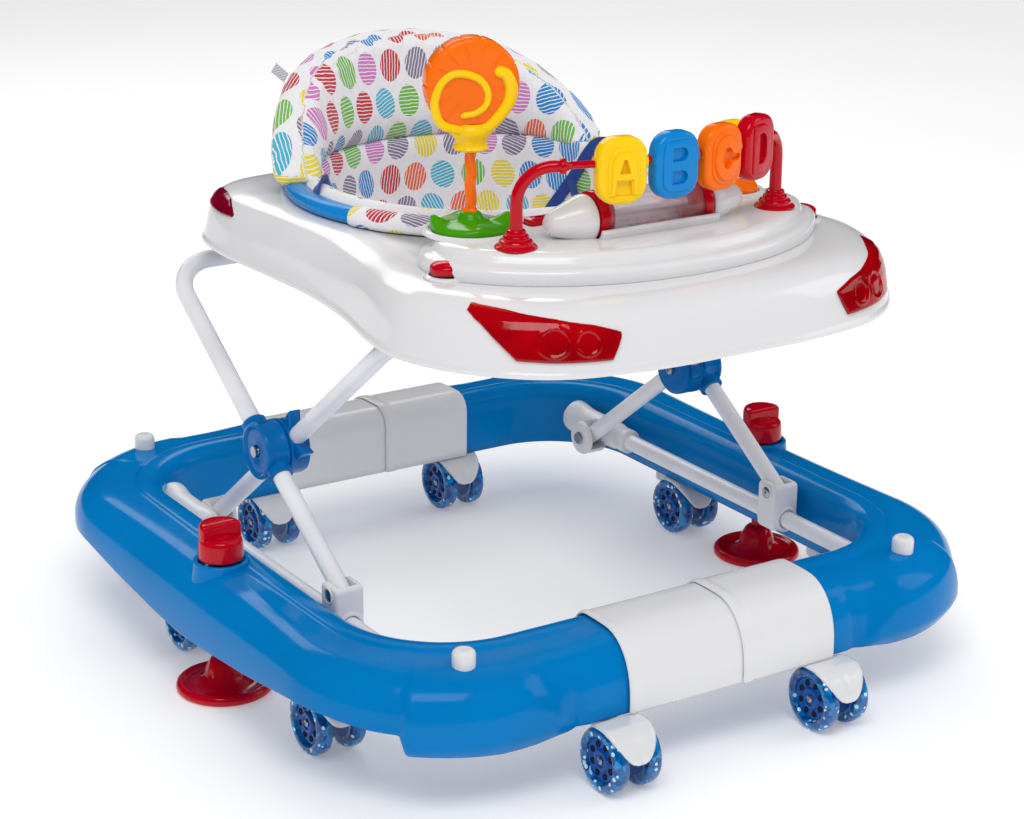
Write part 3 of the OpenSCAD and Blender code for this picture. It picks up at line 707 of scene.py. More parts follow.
def lobe_share(p, z):
    """How much of the corner lobe's swelling a point has: a step at its side end, and a slanted
    crease where it runs into the front beam."""
    side = 1 - smoothstep(1.435, 1.47, p)
    crease = 0.80 + 0.0042 * (z - 63.5)
    return side * smoothstep(crease - 0.035, crease + 0.035, p)


def beam_low(p):
    """Height of the beam's lower edge."""
    straight = lerp_table([(0.0, 57), (0.8, 57), (1.0, 60), (1.3, 68), (1.456, 71.8), (1.58, 73),
                           (1.75, 76.5), (1.94, 76.7), (2.0, 75.5), (2.335, 66.8), (2.733, 59.6),
                           (3.0, 56.5)], p)
    lobe = lerp_table([(0.7, 60), (0.8, 57.5), (0.95, 52), (1.1, 51), (1.25, 53), (1.46, 55.5)], p)
    return straight + (lobe - straight) * lobe_share(p, 60)


def beam_section(p, width):
    """The beam's skin across the ring at p: (distance from the inner edge, height) pairs."""
    ledge = smoothstep(0.55, 0.85, p)
    top = BEAM_TOP
    low = beam_low(p)
    pts = [(0, BEAM_LOW), (0, 66), (0, 80), (0, 94), (0, 104)]
    pts += [(RIM_R - RIM_R * math.cos(a), top - RIM_R + RIM_R * math.sin(a))
            for a in (math.radians(d) for d in (20, 40, 60, 80))]
    pts += [(18, top + 0.2 * ledge), (22, top + 0.2 * ledge), (24.6, top), (26, top - 0.9 * ledge),
            (27.6, top - 1.8 * ledge), (30, top - 2.1 * ledge)]
    hip = width - HIP_R
    waist = max(68, low + 6)
    drop = top - 0.3 - 1.9 * ledge - waist
    for k in range(11):
        a = math.radians(90 - 9 * k)
        pts.append((hip + HIP_R * max(0, math.cos(a)) ** 0.92, waist + drop * max(0, math.sin(a)) ** 0.92))
    for k in range(1, 6):
        pts.append((width, waist + (low - waist) * k / 5))
    out = []
    for x, z in pts:
        share = lobe_share(p, z) * smoothstep(0.35, 0.8, x / width)
        swell = 6.5 * smoothstep(BEAM_TOP - 2, 98, z) if z < BEAM_TOP - 2 else 0
        curl = 9.0 * smoothstep(66, 46, z) if z < 66 else 0
        outside = smoothstep(112, 96, z) * smoothstep(0.5, 0.9, x / width)
        x -= 2.4 * math.exp(-((p - NOTCH_P) / 0.022) ** 2) * outside
        out.append((x + share * (swell - curl), z + share * 1.6 * smoothstep(84, 112, z) * (z < 117.2)))
    return out


def ring_rings():
    rings = []
    quarter = ring_stations()
    for sign, part in ((1, quarter), (-1, quarter[-2::-1])):
        for p, inner, outer in part:
            i = Vector((inner[0], inner[1] * sign))
            o = Vector((outer[0], outer[1] * sign))
            across = (o - i).normalized()
            section = beam_section(p, (o - i).length)
            rings.append([mm(*(i + across * x), z) for x, z in section])
    return rings


def make_base():
    right = loft("base_shell_right", ring_rings(), caps=(False, False), wrap_cols=False,
                 material=BLUE, sharp=60)
    left = mirror_copy(right, "base_shell_left")
    for shell, node in ((right, "base_right"), (left, "base_left")):
        piece(thickened(shell, 3.0), "base", "ring_blue", node)
    for _, word in SIDES:
        at = joint_mm(f"stopper_{word}")
        collar = lathe(f"stopper_collar_{word}", mm(at.x, at.y, 0), (0, 0, 1),
                       [(30.5, 92), (27.5, 101), (25.8, 107), (25.0, 112), (24.6, 117), (24.3, 120),
                        (23.4, 120.9), (21.0, 121), (20.2, 120.4), (20.0, 118), (19.8, 114), (8, 113.4),
                        (8, 92)], 64, material=BLUE)
        piece(collar, "base", "ring_blue")


SLEEVE_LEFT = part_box("front_sleeves")[0].x / MM
SLEEVE_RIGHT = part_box("front_sleeves")[1].x / MM
SLEEVE_SEAM = 19


def sleeve_section(grow):
    """The sleeve's skin: the beam's section moved outwards by grow."""
    section = beam_section(0.0, BEAM_W)
    out = []
    for i, (x, z) in enumerate(section):
        a = section[max(i - 1, 0)]
        b = section[min(i + 1, len(section) - 1)]
        t = Vector((b[0] - a[0], b[1] - a[1])).normalized()
        out.append((x - t.y * grow, z + t.x * grow))
    return out


def sleeve(name, x0, x1, grow, lips, y_sign):
    """One moulded sleeve from x0 to x1; lips are the raised bands (position, half width, height)."""
    rings = []
    stops = [0.0, 0.25, 0.7, 1.4, 2.4]
    xs = [x0 + s for s in stops] + [x0 + 2.4 + (x1 - x0 - 4.8) * i / 34 for i in range(1, 34)]
    xs += [x1 - s for s in stops[::-1]]
    for x in xs:
        edge = min(x - x0, x1 - x)
        g = grow + 3 - 1.5 * (1 - min(1.0, edge / 2.4)) ** 2
        for place, half, height in lips:
            g += height * (1 - smoothstep(half * 0.55, half, abs(x - place)))
        rings.append([mm(x, -y_sign * (INNER_HALF + s), z) for s, z in sleeve_section(g)])
    obj = loft(name, rings, caps=(False, False), wrap_cols=False, material=SLEEVE_WHITE, sharp=50)
    return thickened(obj, 2.6)


def make_sleeves():
    for y_sign, word in ((1, "front"), (-1, "rear")):
        node = f"{word}_sleeves"
        a = sleeve(f"{word}_sleeve_left", SLEEVE_LEFT, SLEEVE_SEAM + 3, 0.6,
                   [(SLEEVE_LEFT + 3, 4, 0.7)], y_sign)
        b = sleeve(f"{word}_sleeve_right", SLEEVE_SEAM, SLEEVE_RIGHT, 2.0,
                   [(SLEEVE_SEAM + 4, 8, 1.3)], y_sign)
        piece(a, "base", "white_plastic", node)
        piece(b, "base", "white_plastic", node)


PLUG_R = 9


def make_plugs():
    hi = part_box("corner_plugs")[1]
    top = hi.z / MM
    plug_x, plug_y = hi.x / MM - PLUG_R, (hi.y - BASE_Y) / MM - PLUG_R
    for sx, word in SIDES:
        for sy, place in ((-1, "front"), (1, "rear")):
            profile = [(6, 104), (6, 112), (9.2, 114), (9.6, 116), (9.6, top - 5)]
            profile += [(5.1 + 4.5 * math.cos(math.radians(a)), top - 5 + 5 * math.sin(math.radians(a)))
                        for a in (15, 30, 45, 60, 75, 90)] + [(2.5, top - 0.15), (0, top - 0.3)]
            plug = lathe(f"plug_{place}_{word}", mm(sx * plug_x, sy * plug_y, 0), (0, 0, 1), profile, 40,
                         material=WHITE)
            piece(plug, "base", "white_plastic", "corner_plugs")


# ---- tray -----------------------------------------------------------------------------

# Right half of the tray's outline from front to back, and of the console's
TRAY_HALF = [(0, -339), (80, -337), (157, -319), (210, -271), (234, -215), (233, -165), (217, -90),
             (210, -20), (212, 60), (215, 130), (207, 185), (186, 213), (150, 226), (85, 230), (0, 230)]
CONSOLE_HALF = [(0, -287), (72, -278), (135, -250), (180, -205), (184, -160), (160, -130), (118, -123),
                (60, -131), (0, -132)]
SEAT = Vector((0, 42))
WELL_R = 166
TRAY_LOOP = smooth_loop(mirrored(TRAY_HALF), 8)
# The tray's skin from its lower rim to its flat top: (distance in from the outline, height)
TRAY_SKIN = [(1.6, 345), (-0.6, 345.2), (-1.0, 347), (-0.6, 348.8), (0.5, 349.6), (1.2, 352), (2.6, 357),
             (4.6, 366), (7.0, 375), (9.5, 381), (13, 386.5), (18, 391), (24, 394), (32, 396.2),
             (42, 397.3), (52, 397.6)]


def skin_inset(z):
    return lerp_table([(z1, inset) for inset, z1 in TRAY_SKIN[3:]], z)


def well_gap(p):
    return (Vector(p) - SEAT).length - WELL_R


def make_tray():
    share = [min(1.0, max(0.1, well_gap(p) / 60)) for p in TRAY_LOOP]
    rings = []
    for inset, z in TRAY_SKIN:
        loop = moved_in(TRAY_LOOP, [inset if z < 362 else 3.8 + (inset - 3.8) * s for s in share])
        rings.append([mm(p.x, p.y, z) for p in loop])
    for r, z in ((WELL_R + 3, 397.4), (WELL_R + 1.4, 396.8), (WELL_R + 0.4, 395.4), (WELL_R, 393),
                 (WELL_R, 373)):
        rings.append([mm(*(SEAT + (p - SEAT).normalized() * r), z) for p in TRAY_LOOP])
    tray = loft("tray_body", rings, caps=(False, False), material=WHITE, sharp=50)
    thickened(tray, 2.6)
    piece(tray, "tray", "white_plastic", "tray_shell")


FRONT_ARC = [p for p in TRAY_LOOP if p.x >= 0 and p.y < -180]
REAR_ARC = [p for p in TRAY_LOOP if p.x >= 0 and p.y > 100]


def skirt_frame(arc, at, key):
    """Place on the outline where its x (key 0) or y (key 1) is `at`, with the outward normal."""
    best = None
    for a, b in zip(arc, arc[1:]):
        lo, hi = sorted((a[key], b[key]))
        if lo <= at <= hi and hi > lo:
            t = (at - a[key]) / (b[key] - a[key])
            d = (b - a).normalized()
            best = a + (b - a) * t, Vector((d.y, -d.x))
    return best


def skirt_blister(name, arc, key, stations, proud, material, node_side, ridges=()):
    """A lens standing on the tray's skirt. stations are (x or y on the outline, lowest z, highest z);
    ridges are (x, z, radius) of moulded reflector rims."""
    across = 96
    tall = 30
    lo_table = [(s[0], s[1]) for s in stations]
    hi_table = [(s[0], s[2]) for s in stations]
    start, end = stations[0][0], stations[-1][0]
    rows = []
    for j in range(-1, tall + 2):
        v = min(1.0, max(0.0, j / tall))
        row = []
        for i in range(-1, across + 2):
            u = min(1.0, max(0.0, i / across))
            at = start + (end - start) * u
            z = lerp_table(lo_table, at) + (lerp_table(hi_table, at) - lerp_table(lo_table, at)) * v
            p, normal = skirt_frame(arc, at, key)
            height = lerp_table(hi_table, at) - lerp_table(lo_table, at)
            edge = min(min(u, 1 - u) * abs(end - start), min(v, 1 - v) * height)
            lift = -1.5 if i in (-1, across + 1) or j in (-1, tall + 1) else proud * (
                0.35 + 0.65 * math.sqrt(max(0.0, 1 - (1 - min(1.0, edge / 2.2)) ** 2)))
            for cx, cz, r in ridges:
                d = math.hypot(at - cx, (z - cz) * 1.05)
                lift += 0.8 * math.exp(-((d - r) / 0.9) ** 2) - 1.0 * smoothstep(r + 0.4, r - 2.4, d)
            q = p + normal * (lift - skin_inset(z))
            row.append(mm(q.x * node_side, q.y, z))
        rows.append(row)
    return loft(name, rows, caps=(False, False), wrap_cols=False, material=material, sharp=50)


def make_lamps():
    for side, word in SIDES:
        head = skirt_blister(f"headlight_{word}", FRONT_ARC, 0,
                             [(107, 375, 377), (111, 366, 378.4), (116, 357, 380), (128, 357, 383.4),
                              (160, 357.5, 388.6), (184, 358.5, 391.5), (194, 370, 393), (204, 382, 394),
                              (214, 391, 394.6)], 2.6, RED_LENS, side, [(135, 371.5, 9.5), (160, 372.5, 11)])
        piece(thickened(head, 1.2), "tray", "red_lens", *(["headlights"] if side == LEFT else []))
        tail = skirt_blister(f"tail_light_{word}", REAR_ARC, 1,
                             [(126, 380, 382), (134, 379, 386), (150, 378, 391), (172, 378, 392.5),
                              (196, 379, 392), (210, 381, 388)], 2.2, TAIL_LENS, side)
        piece(thickened(tail, 1.2), "tray", "dark_red_lens", *(["tail_lights"] if side == LEFT else []))


# ---- console and drum -----------------------------------------------------------------

CONSOLE_LOOP = smooth_loop(mirrored(CONSOLE_HALF), 8)
DRUM_Y, DRUM_Z = joint_mm("drum_roll").y, joint_mm("drum_roll").z
DRUM_HALF = (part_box("drum_caps")[1].x) / MM - 9
BEAD_R, BEAD_REACH = 2.6, 14.2         # a bead's radius, and its middle's distance from the drum's axis
CONSOLE_TOP = 420.0
CONSOLE_SKIN = [(1.5, 397.2), (0.4, 398), (0, 400), (0, 404.5), (0.7, 407.2), (2.4, 409.4), (5, 410.4),
                (8.5, 410.9), (10.8, 411.9), (12.2, 413.8), (13.2, 416.4), (15.2, 418.5), (18.5, 419.7),
                (23, 420.0)]


# The horn at each end of the drum: (radius, distance from the drum's middle)
SHROUD = [(14, 57.6), (19.2, 57.6), (20.0, 58.6), (20.2, 60.4), (19.8, 64), (18.6, 68), (16.8, 73),
          (14.8, 78), (13.0, 83), (11.2, 88), (9.0, 92.5), (5.4, 96), (0, 97)]


def make_console():
    rings = [[mm(p.x, p.y, z) for p in moved_in(CONSOLE_LOOP, d)] for d, z in CONSOLE_SKIN]
    body = loft("console_body", rings, material=WHITE, sharp=50)
    cut(body, rod("trough", mm(0, DRUM_Y, DRUM_Z), (1, 0, 0), 22.5, DRUM_HALF + 3, 56))
    at = middle_mm("music_button")
    cut(body, slab("pocket", rounded_box(at.x, at.y, 36.4, 18.4, 4), 410, 430, 0.1, mm, 1))
    for side, word in SIDES:
        x, y = latch_place(side, word)
        cut(body, lathe("latch_bay", mm(x, y, 390), (0, 0, 1), latch_dome(15.4, 19.6, -8), 56))
    bevelled(body, 0.8, 2, 40)
    parts = [lathe(f"shroud_{word}", mm(0, DRUM_Y, DRUM_Z - 1.5), (side, 0, 0), SHROUD, 56, material=WHITE,
                   sharp=50) for side, word in SIDES]
    rings = [toy_seat_ring("lollipop_turn", 35.5), toy_seat_ring("spinner_turn", 27)]
    piece(joined("console_top", body, *parts, trough_wall(), *rings), "tray", "white_plastic", "console")


def toy_seat_ring(joint, r):
    """The raised rim of the console round a toy's foot."""
    profile = [(r + 4.5, -0.8), (r + 3.2, 0.6), (r + 1.6, 2.2), (r, 2.6), (r - 1.4, 2.0), (r - 2, 0.4),
               (r - 2, -0.8)]
    return lathe("toy_seat_ring", mm(*toy_place(joint), CONSOLE_TOP), (0, 0, 1), profile, 64, material=WHITE)


def latch_dome(radius, height, foot):
    """Profile of a low dome: straight at its foot, round above."""
    shoulder = height * 0.45
    dome = [(radius * math.cos(math.radians(a)), shoulder + (height - shoulder) * math.sin(math.radians(a)))
            for a in range(0, 90, 9)]
    return [(0, foot), (radius, foot)] + dome + [(0, height)]


def latch_place(side, word):
    """The middle of a latch's straight edge."""
    lo, hi = box_mm(f"latch_{word}")
    return (lo.x if side == RIGHT else hi.x), (lo.y + hi.y) / 2


def toy_place(joint):
    at = joint_mm(joint)
    return at.x, at.y


def rounded_box(cx, cy, w, h, r):
    """Anticlockwise outline of a box with rounded corners."""
    out = []
    for k, (sx, sy) in enumerate(QUARTERS):
        out += arc(cx + sx * (w / 2 - r), cy + sy * (h / 2 - r), r, 90 * k, 90 * k + 90, 6)
    return out


def trough_wall():
    """The two walls that rise from the console in front of the drum and behind it."""
    turns = [math.radians(196 + 148 * k / 12) for k in range(13)]
    section = [(27.2 * (1 + 0.16 * math.sin(a) ** 2) * math.cos(a), 27.2 * math.sin(a)) for a in turns]
    section += [(22.8 * math.cos(a), 22.8 * math.sin(a)) for a in turns[::-1]]
    length = 2 * DRUM_HALF + 4
    rings = [[mm(length * (i / 40 - 0.5), DRUM_Y + y, DRUM_Z + z) for y, z in section] for i in range(41)]
    return bevelled(loft("trough_wall", rings, material=WHITE, sharp=60), 1.4, 3, 50)


def make_drum():
    at = mm(0, DRUM_Y, DRUM_Z)
    half = DRUM_HALF - 6
    wall = [(18.9, -half), (19, 0), (18.9, half), (17.2, half), (17.3, 0), (17.2, -half), (18.9, -half)]
    piece(lathe("drum_clear", at, (1, 0, 0), wall, 64, material=CLEAR), "drum", "clear_plastic", "drum_tube")
    parts = []
    for side, word in SIDES:
        end = mm(side * half, DRUM_Y, DRUM_Z)
        parts.append(lathe(f"drum_ring_{word}", end, (side, 0, 0),
                           [(17.2, -3), (19.6, -3), (20.4, -2.2), (20.6, 0), (20.6, 4), (20.2, 5.4), (19, 6),
                            (8, 6), (6, 5), (3.9, 5), (3.9, 14.6), (3.2, 15), (0, 15)], 64, material=RED))
        parts.append(lathe(f"drum_disc_{word}", end, (side, 0, 0),
                           [(0, -9), (16.8, -9), (17.1, -8), (17.1, -3), (0, -3)], 48, material=RED))
    piece(joined("drum_ends", *parts), "drum", "red_plastic", "drum_caps")
    make_drum_filling(at, half)


def make_drum_filling(at, half):
    """The bar inside the clear drum and the coloured beads that lie at its foot."""
    inner = [lathe("drum_bar", at, (1, 0, 0), [(0, -half + 8), (3.2, -half + 8), (3.4, 0), (3.2, half - 8),
                                               (0, half - 8)], 24, material=WHITE)]
    dice = random.Random(7)
    for k, material in enumerate((RED, YELLOW, TOY_BLUE, GREEN, ORANGE, RED, YELLOW, TOY_BLUE)):
        x = -33 + 9.5 * k + dice.uniform(-2, 2)
        y = dice.uniform(-6, 6)
        bead = mm(x, DRUM_Y + y, DRUM_Z - math.sqrt(BEAD_REACH ** 2 - y * y))
        ball = [(BEAD_R * math.sin(math.pi * i / 10), -BEAD_R * math.cos(math.pi * i / 10))
                for i in range(11)]
        inner.append(lathe(f"drum_bead_{k}", bead, (0, 0, 1), ball, 16, material=material))
    piece(joined("drum_filling", *inner), "drum", "toy_blue")


def make_button():
    at = middle_mm("music_button")
    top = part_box("music_button")[1].z / MM
    cap = slab("button_cap", rounded_box(at.x, at.y, 33.4, 15.4, 4.5), 415, top - 0.6, 1.8, mm, 5, 0.9,
               material=RED)
    piece(cap, "music_button", "red_plastic", "music_button")


def make_latches():
    for side, word in SIDES:
        x, y = latch_place(side, word)
        lo, hi = (v.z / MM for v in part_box(f"latch_{word}"))
        body = lathe(f"latch_body_{word}", mm(x, y, lo), (0, 0, 1), latch_dome(13.6, hi - 0.6 - lo, 0), 56,
                     material=RED)
        piece(body, f"latch_{word}", "red_plastic", f"latch_{word}")
        rim = lathe(f"latch_seat_{word}", mm(x, y, 397.3), (0, 0, 1),
                    [(19, 0), (18, 1.2), (15.6, 2.6), (14.6, 2.6), (14.2, 1)], 48, material=WHITE)
        piece(thickened(rim, 0.8), "tray", "white_plastic")


# ---- toy arch and letters -------------------------------------------------------------

ARCH_END = 30                          # half angle that the arch spans, in degrees
ARCH_R = 258
ARCH_Z = joint_mm("letter_a_spin").z
ARCH_C = -214 + ARCH_R * math.cos(math.radians(ARCH_END))     # y of the middle of its curve
BENDS = {LEFT: 30, RIGHT: 22}          # bend radius where each post meets the bar


def at_arch(angle, x, y, z):
    """A point given from the arch bar at an angle, x along the bar and y towards the back."""
    a = math.radians(angle)
    c, s = math.cos(a), math.sin(a)
    y -= ARCH_R
    return mm(x * c - y * s, ARCH_C + x * s + y * c, z)


def make_arch():
    path, radius = [], []

    def add(point, r):
        path.append(point)
        radius.append(r * MM)

    for side in (LEFT, RIGHT):
        bend = BENDS[side]
        post = []
        for z, r in ((CONSOLE_TOP + 0.4, 5.6), (428, 5.3), (438, 5.2), (ARCH_Z - bend, 5.0)):
            post.append((at_arch(side * ARCH_END, 0, 0, z), r))
        for k in range(1, 11):
            a = math.radians(9 * k)
            post.append((at_arch(side * ARCH_END, -side * bend * (1 - math.cos(a)), 0,
                                 ARCH_Z - bend + bend * math.sin(a)), 5.0 - 0.02 * k))
        for r, x in ((4.6, 3), (6.0, 4), (6.5, 6), (6.0, 8.2), (4.0, 9), (3.1, 10)):
            post.append((at_arch(side * ARCH_END, -side * (bend + x), 0, ARCH_Z), r))
        if side == RIGHT:
            first = -ARCH_END + math.degrees(math.atan((BENDS[LEFT] + 14) / ARCH_R))
            last = ARCH_END - math.degrees(math.atan((BENDS[RIGHT] + 14) / ARCH_R))
            for k in range(25):
                add(at_arch(first + (last - first) * k / 24, 0, 0, ARCH_Z), 3.0)
            post.reverse()
        for point, r in post:
            add(point, r)
    piece(tube("arch_bar", path, radius, 28, material=RED, sharp=60), "tray", "red_plastic", "arch_frame")
    for side, word in SIDES:
        foot = at_arch(side * ARCH_END, 0, 0, CONSOLE_TOP)
        bellows = [(17, -0.4), (17.2, 1), (16.2, 2.2), (14.4, 2.6), (13.6, 3.2), (13.6, 5.4), (12.8, 6.4),
                   (11, 6.8), (10.3, 7.4), (10.3, 9.4), (9.6, 10.4), (8.6, 10.8), (8, 11.4), (8, 13.4),
                   (7.2, 14.6), (5.4, 15)]
        piece(lathe(f"arch_foot_{word}", foot, (0, 0, 1), bellows, 48, material=RED), "tray", "red_plastic",
              *(["arch_grommets"] if side == LEFT else []))


def letter_a_shapes():
    plate = [(-13.5, -19), (13.5, -19)] + arc(0, 6.5, 13.5, 0, 180, 16)
    counter = [(-4.6, -1.5), (4.6, -1.5), (4.4, 0.5), (1.4, 10), (-1.4, 10), (-4.4, 0.5)]
    pocket = [(-7.5, -19.6), (7.5, -19.6), (6.2, -7.5), (-6.2, -7.5)]
    stroke = [(-11.2, -18), (-8.2, -18), (-7.2, -6.2), (7.2, -6.2), (8.2, -18), (11.2, -18)]
    stroke += arc(0, 5.5, 10.2, 0, 180, 14)
    return [plate, stroke], [counter, pocket]


def letter_b_shapes():
    plate = rounded_box(0, 0, 30, 41, 9)
    lobe = [(-6.5, 1.5 + 2.2)] + arc(2.2, 9.3, 5.6, -90, 90, 10) + [(-6.5, 14.9)]
    low = [(-6.5, -14.9)] + arc(2.6, -9.3, 5.6, -90, 90, 10) + [(-6.5, -3.7)]
    return [plate], [lobe, low]


def letter_c_shapes():
    plate = rounded_box(0, 0, 31, 43, 14)
    bow = arc(0, 0, 14.2, 0, 345, 23)
    counter = arc(0, 0, 6.0, 22, 338, 16) + [(17, -1.6), (17, 1.6)]
    return [plate, [(x, y * 1.3) for x, y in bow]], [[(x, y * 1.5) for x, y in counter]]


def letter_d_shapes():
    plate = [(-13, -20)] + arc(-3, -6, 15, -75, 0, 8) + arc(-3, 6, 15, 0, 75, 8) + [(-13, 20)]
    pocket = [(-6, -12.5)] + arc(-2.4, -5, 8, -70, 0, 7) + arc(-2.4, 5, 8, 0, 70, 7) + [(-6, 12.5)]
    return [plate], [pocket]


# Each letter's angle along the arch, its outlines, and its finish
LETTERS = {"a": (-11.5, letter_a_shapes, YELLOW, "yellow_plastic"),
           "b": (-0.8, letter_b_shapes, TOY_BLUE, "toy_blue"),
           "c": (9.9, letter_c_shapes, ORANGE, "orange_plastic"),
           "d": (20.4, letter_d_shapes, RED, "red_plastic")}
LETTER_W, LETTER_H, LETTER_T, LETTER_DROP = 42, 54, 18, 6


def make_letter(key):
    """A rounded block with a raised letter plate on each face and sunken counters."""
    angle, shapes, material, slot = LETTERS[key]
    middle = ARCH_Z - LETTER_DROP
    raised, sunk = shapes()
    half = LETTER_T / 2

    def front(x, y, z):
        return at_arch(angle, x, -z, middle + y)

    def back(x, y, z):
        return at_arch(angle, -x, z, middle + y)

    block = slab(f"letter_block_{key}", rounded_box(0, 0, LETTER_W, LETTER_H, 16), -half + 1.6, half - 1.6,
                 4.2, front, 6, material=material)
    for place in (front, back):
        for k, outline in enumerate(raised):
            plate = slab("plate", outline, 0, half - 0.2 + 1.9 * k, 1.0, place, 3, material=material)
            cut(block, plate, "UNION")
        for outline in sunk:
            cut(block, slab("counter", outline, half - 3.6, half + 6, 0.05, place, 1))
    bevelled(block, 0.7, 3, 40)
    boss = [tube("boss", [at_arch(angle, s * (LETTER_W / 2 - 3), 0, ARCH_Z),
                          at_arch(angle, s * (LETTER_W / 2 + 0.8), 0, ARCH_Z)], 5.6 * MM, 24,
                 material=material) for s in (LEFT, RIGHT)]
    piece(joined(f"letter_toy_{key}", block, *boss), f"letter_{key}", slot, f"letter_{key}")


# ---- lollipop and spinner -------------------------------------------------------------

LOLLY_X, LOLLY_Y = toy_place("lollipop_turn")
LOLLY_Z = box_mm("lollipop_disc")[1].z - 38
LOLLY_TURN = math.radians(-20)
SWEET_R = 38
# The yellow swirl's two strokes on the sweet's face, from its foot
SPIRAL_LONG = [(0, -36), (-15, -34), (-26.5, -28.4), (-31.2, -13.3), (-26.5, 1.9), (-17, 9.5), (-5.7, 9.5),
               (6, 4), (11.4, -5.5), (10, -15.2), (2, -21.5), (-7.6, -23.1)]
SPIRAL_SHORT = [(2, -36), (13.3, -32), (26.5, -17), (30.3, -3.8), (26.5, 7.6), (19.9, 11.4)]


def at_lolly(x, y, z):
    c, s = math.cos(LOLLY_TURN), math.sin(LOLLY_TURN)
    return mm(LOLLY_X + x * c - y * s, LOLLY_Y + x * s + y * c, LOLLY_Z + z)


def lolly_face_skin():
    """Half profile of the sweet: (radius, distance from its middle plane)."""
    face = [(30, 11.2), (26, 11.3), (22, 11.2), (17, 10.8), (12, 10.6), (6, 10.6), (0, 10.6)]
    return [(SWEET_R, 0), (SWEET_R, 3)] + arc(SWEET_R - 5, 6, 5, 0, 90, 6) + face


def lolly_sweet():
    """The disc, with flutes that fan out over its rim."""
    half = lolly_face_skin()
    profile = [(r, -h) for r, h in half[::-1]] + half[1:]
    rings = []
    steps = 168
    for r, h in profile:
        ring = []
        for i in range(steps):
            a = TAU * i / steps
            flute = (14 * i / steps + 0.012 * max(0.0, SWEET_R - r)) % 1.0
            groove = math.exp(-((min(flute, 1 - flute) / 0.045) ** 2)) * smoothstep(15, 23, r)
            rr = r - 0.9 * groove * smoothstep(34, SWEET_R, r)
            hh = h - math.copysign(0.9 * groove * smoothstep(3, 8, abs(h)), h)
            ring.append(at_lolly(rr * math.cos(a), -hh, rr * math.sin(a)))
        rings.append(ring)
    return loft("lolly_sweet", rings, caps=(False, False), material=ORANGE, sharp=55)


def lolly_swirls():
    """The two raised strokes on each face, thinner towards their ends."""
    parts = []
    for face in (-1, 1):
        for k, (points, wide) in enumerate(((SPIRAL_LONG, 3.4), (SPIRAL_SHORT, 4.6))):
            line = smooth_path([Vector(p) for p in points], 8)
            n = len(line) - 1
            radius = [wide * MM * (1.15 - 0.35 * (i / n if k == 0 else abs(1 - 1.6 * i / n) * 0.6))
                      for i in range(n + 1)]
            radius = [radius[0] * 0.3] + radius + [radius[-1] * 0.75, radius[-1] * 0.3]
            onward = (line[-1] - line[-2]).normalized()
            start = line[0] - (line[1] - line[0]).normalized() * 2
            path = [start] + line + [line[-1] + onward * 2.2, line[-1] + onward * 3.2]
            parts.append(tube("lolly_swirl", [at_lolly(-face * p.x, face * 10.4, p.y) for p in path],
                              radius, 14, material=YELLOW, sharp=70))
    return parts


def lolly_neck():
    profile = [(13, -30.5), (16.5, -33), (17.6, -36.5), (16.6, -39.5), (13.6, -43), (12.2, -46), (13, -48.5),
               (14.6, -51), (13.4, -52.6), (9, -53), (0, -53)]

    def scalloped(a, h):
        return 1.0 if h > -45 else 1 + 0.035 * math.cos(8 * a)

    return lathe("lolly_neck", at_lolly(0, 0, 0), (0, 0, 1), profile, 56, scalloped, material=YELLOW,
                 sharp=50)


def lolly_stem():
    """A three-lobed stem with a twist, and a collar near each end."""
    low = CONSOLE_TOP + 5
    top = LOLLY_Z - 50
    rings = []
    for k in range(91):
        z = low + (top - low) * k / 90
        ring = []
        for i in range(30):
            a = TAU * i / 30
            r = 4.25 + 0.75 * math.cos(3 * a + TAU * z / 21)
            r += 1.6 * smoothstep(2.4, 1.4, abs(z - low - 11)) + 1.2 * smoothstep(2.4, 1.4, abs(top - 2 - z))
            ring.append(mm(LOLLY_X + r * math.cos(a), LOLLY_Y + r * math.sin(a), z))
        rings.append(ring)
    return loft("lolly_stem", rings, material=ORANGE, sharp=60)


def make_lollipop():
    head = joined("lolly_head", lolly_sweet(), *lolly_swirls(), lolly_neck())
    piece(head, "lollipop", "orange_plastic", "lollipop_disc")
    piece(lolly_stem(), "lollipop", "orange_plastic", "lollipop_stem")


def toy_dish(name, x, y, radius, horns, material):
    """A low dish with upturned petals at the given directions, in degrees."""
    z0 = CONSOLE_TOP + 0.4
    # share of the radius, height, share of the petals' rise
    profile = [(1.0, 0, 0), (1.03, 1.2, 0.3), (1.04, 3, 1), (1.0, 4.8, 1), (0.93, 5.8, 0.9),
               (0.8, 6.6, 0.55), (0.62, 7.4, 0.2), (0.45, 8.2, 0), (0.34, 9.4, 0), (0.3, 11.5, 0),
               (0.27, 14, 0), (0.21, 15.4, 0), (0.15, 15.7, 0), (0.15, 12, 0)]
    rings = []
    for share, h, rise in profile:
        ring = []
        for i in range(96):
            a = TAU * i / 96
            lift = 0.0
            for direction, height in horns:
                off = (math.degrees(a) - direction + 180) % 360 - 180
                lift += height * math.exp(-(off / 19) ** 2)
            r = radius * share * (1 - 0.002 * lift * rise)
            ring.append(mm(x + r * math.cos(a), y + r * math.sin(a), z0 + h + lift * rise))
        rings.append(ring)
    return loft(name, rings, caps=(True, False), material=material, sharp=60)


def make_toy_dishes():
    horns = [(160, 9), (340, 9), (250, 2.2), (70, 4)]
    dish = toy_dish("flower_dish", LOLLY_X, LOLLY_Y, 32, horns, GREEN)
    piece(dish, "tray", "green_plastic", "flower_socket")
    x, y = toy_place("spinner_turn")
    dish = toy_dish("spinner_dish", x, y, 23.5, [(0, 3), (120, 3), (240, 3)], ORANGE)
    piece(dish, "tray", "orange_plastic", "spinner_base")
    make_spinner(x, y)


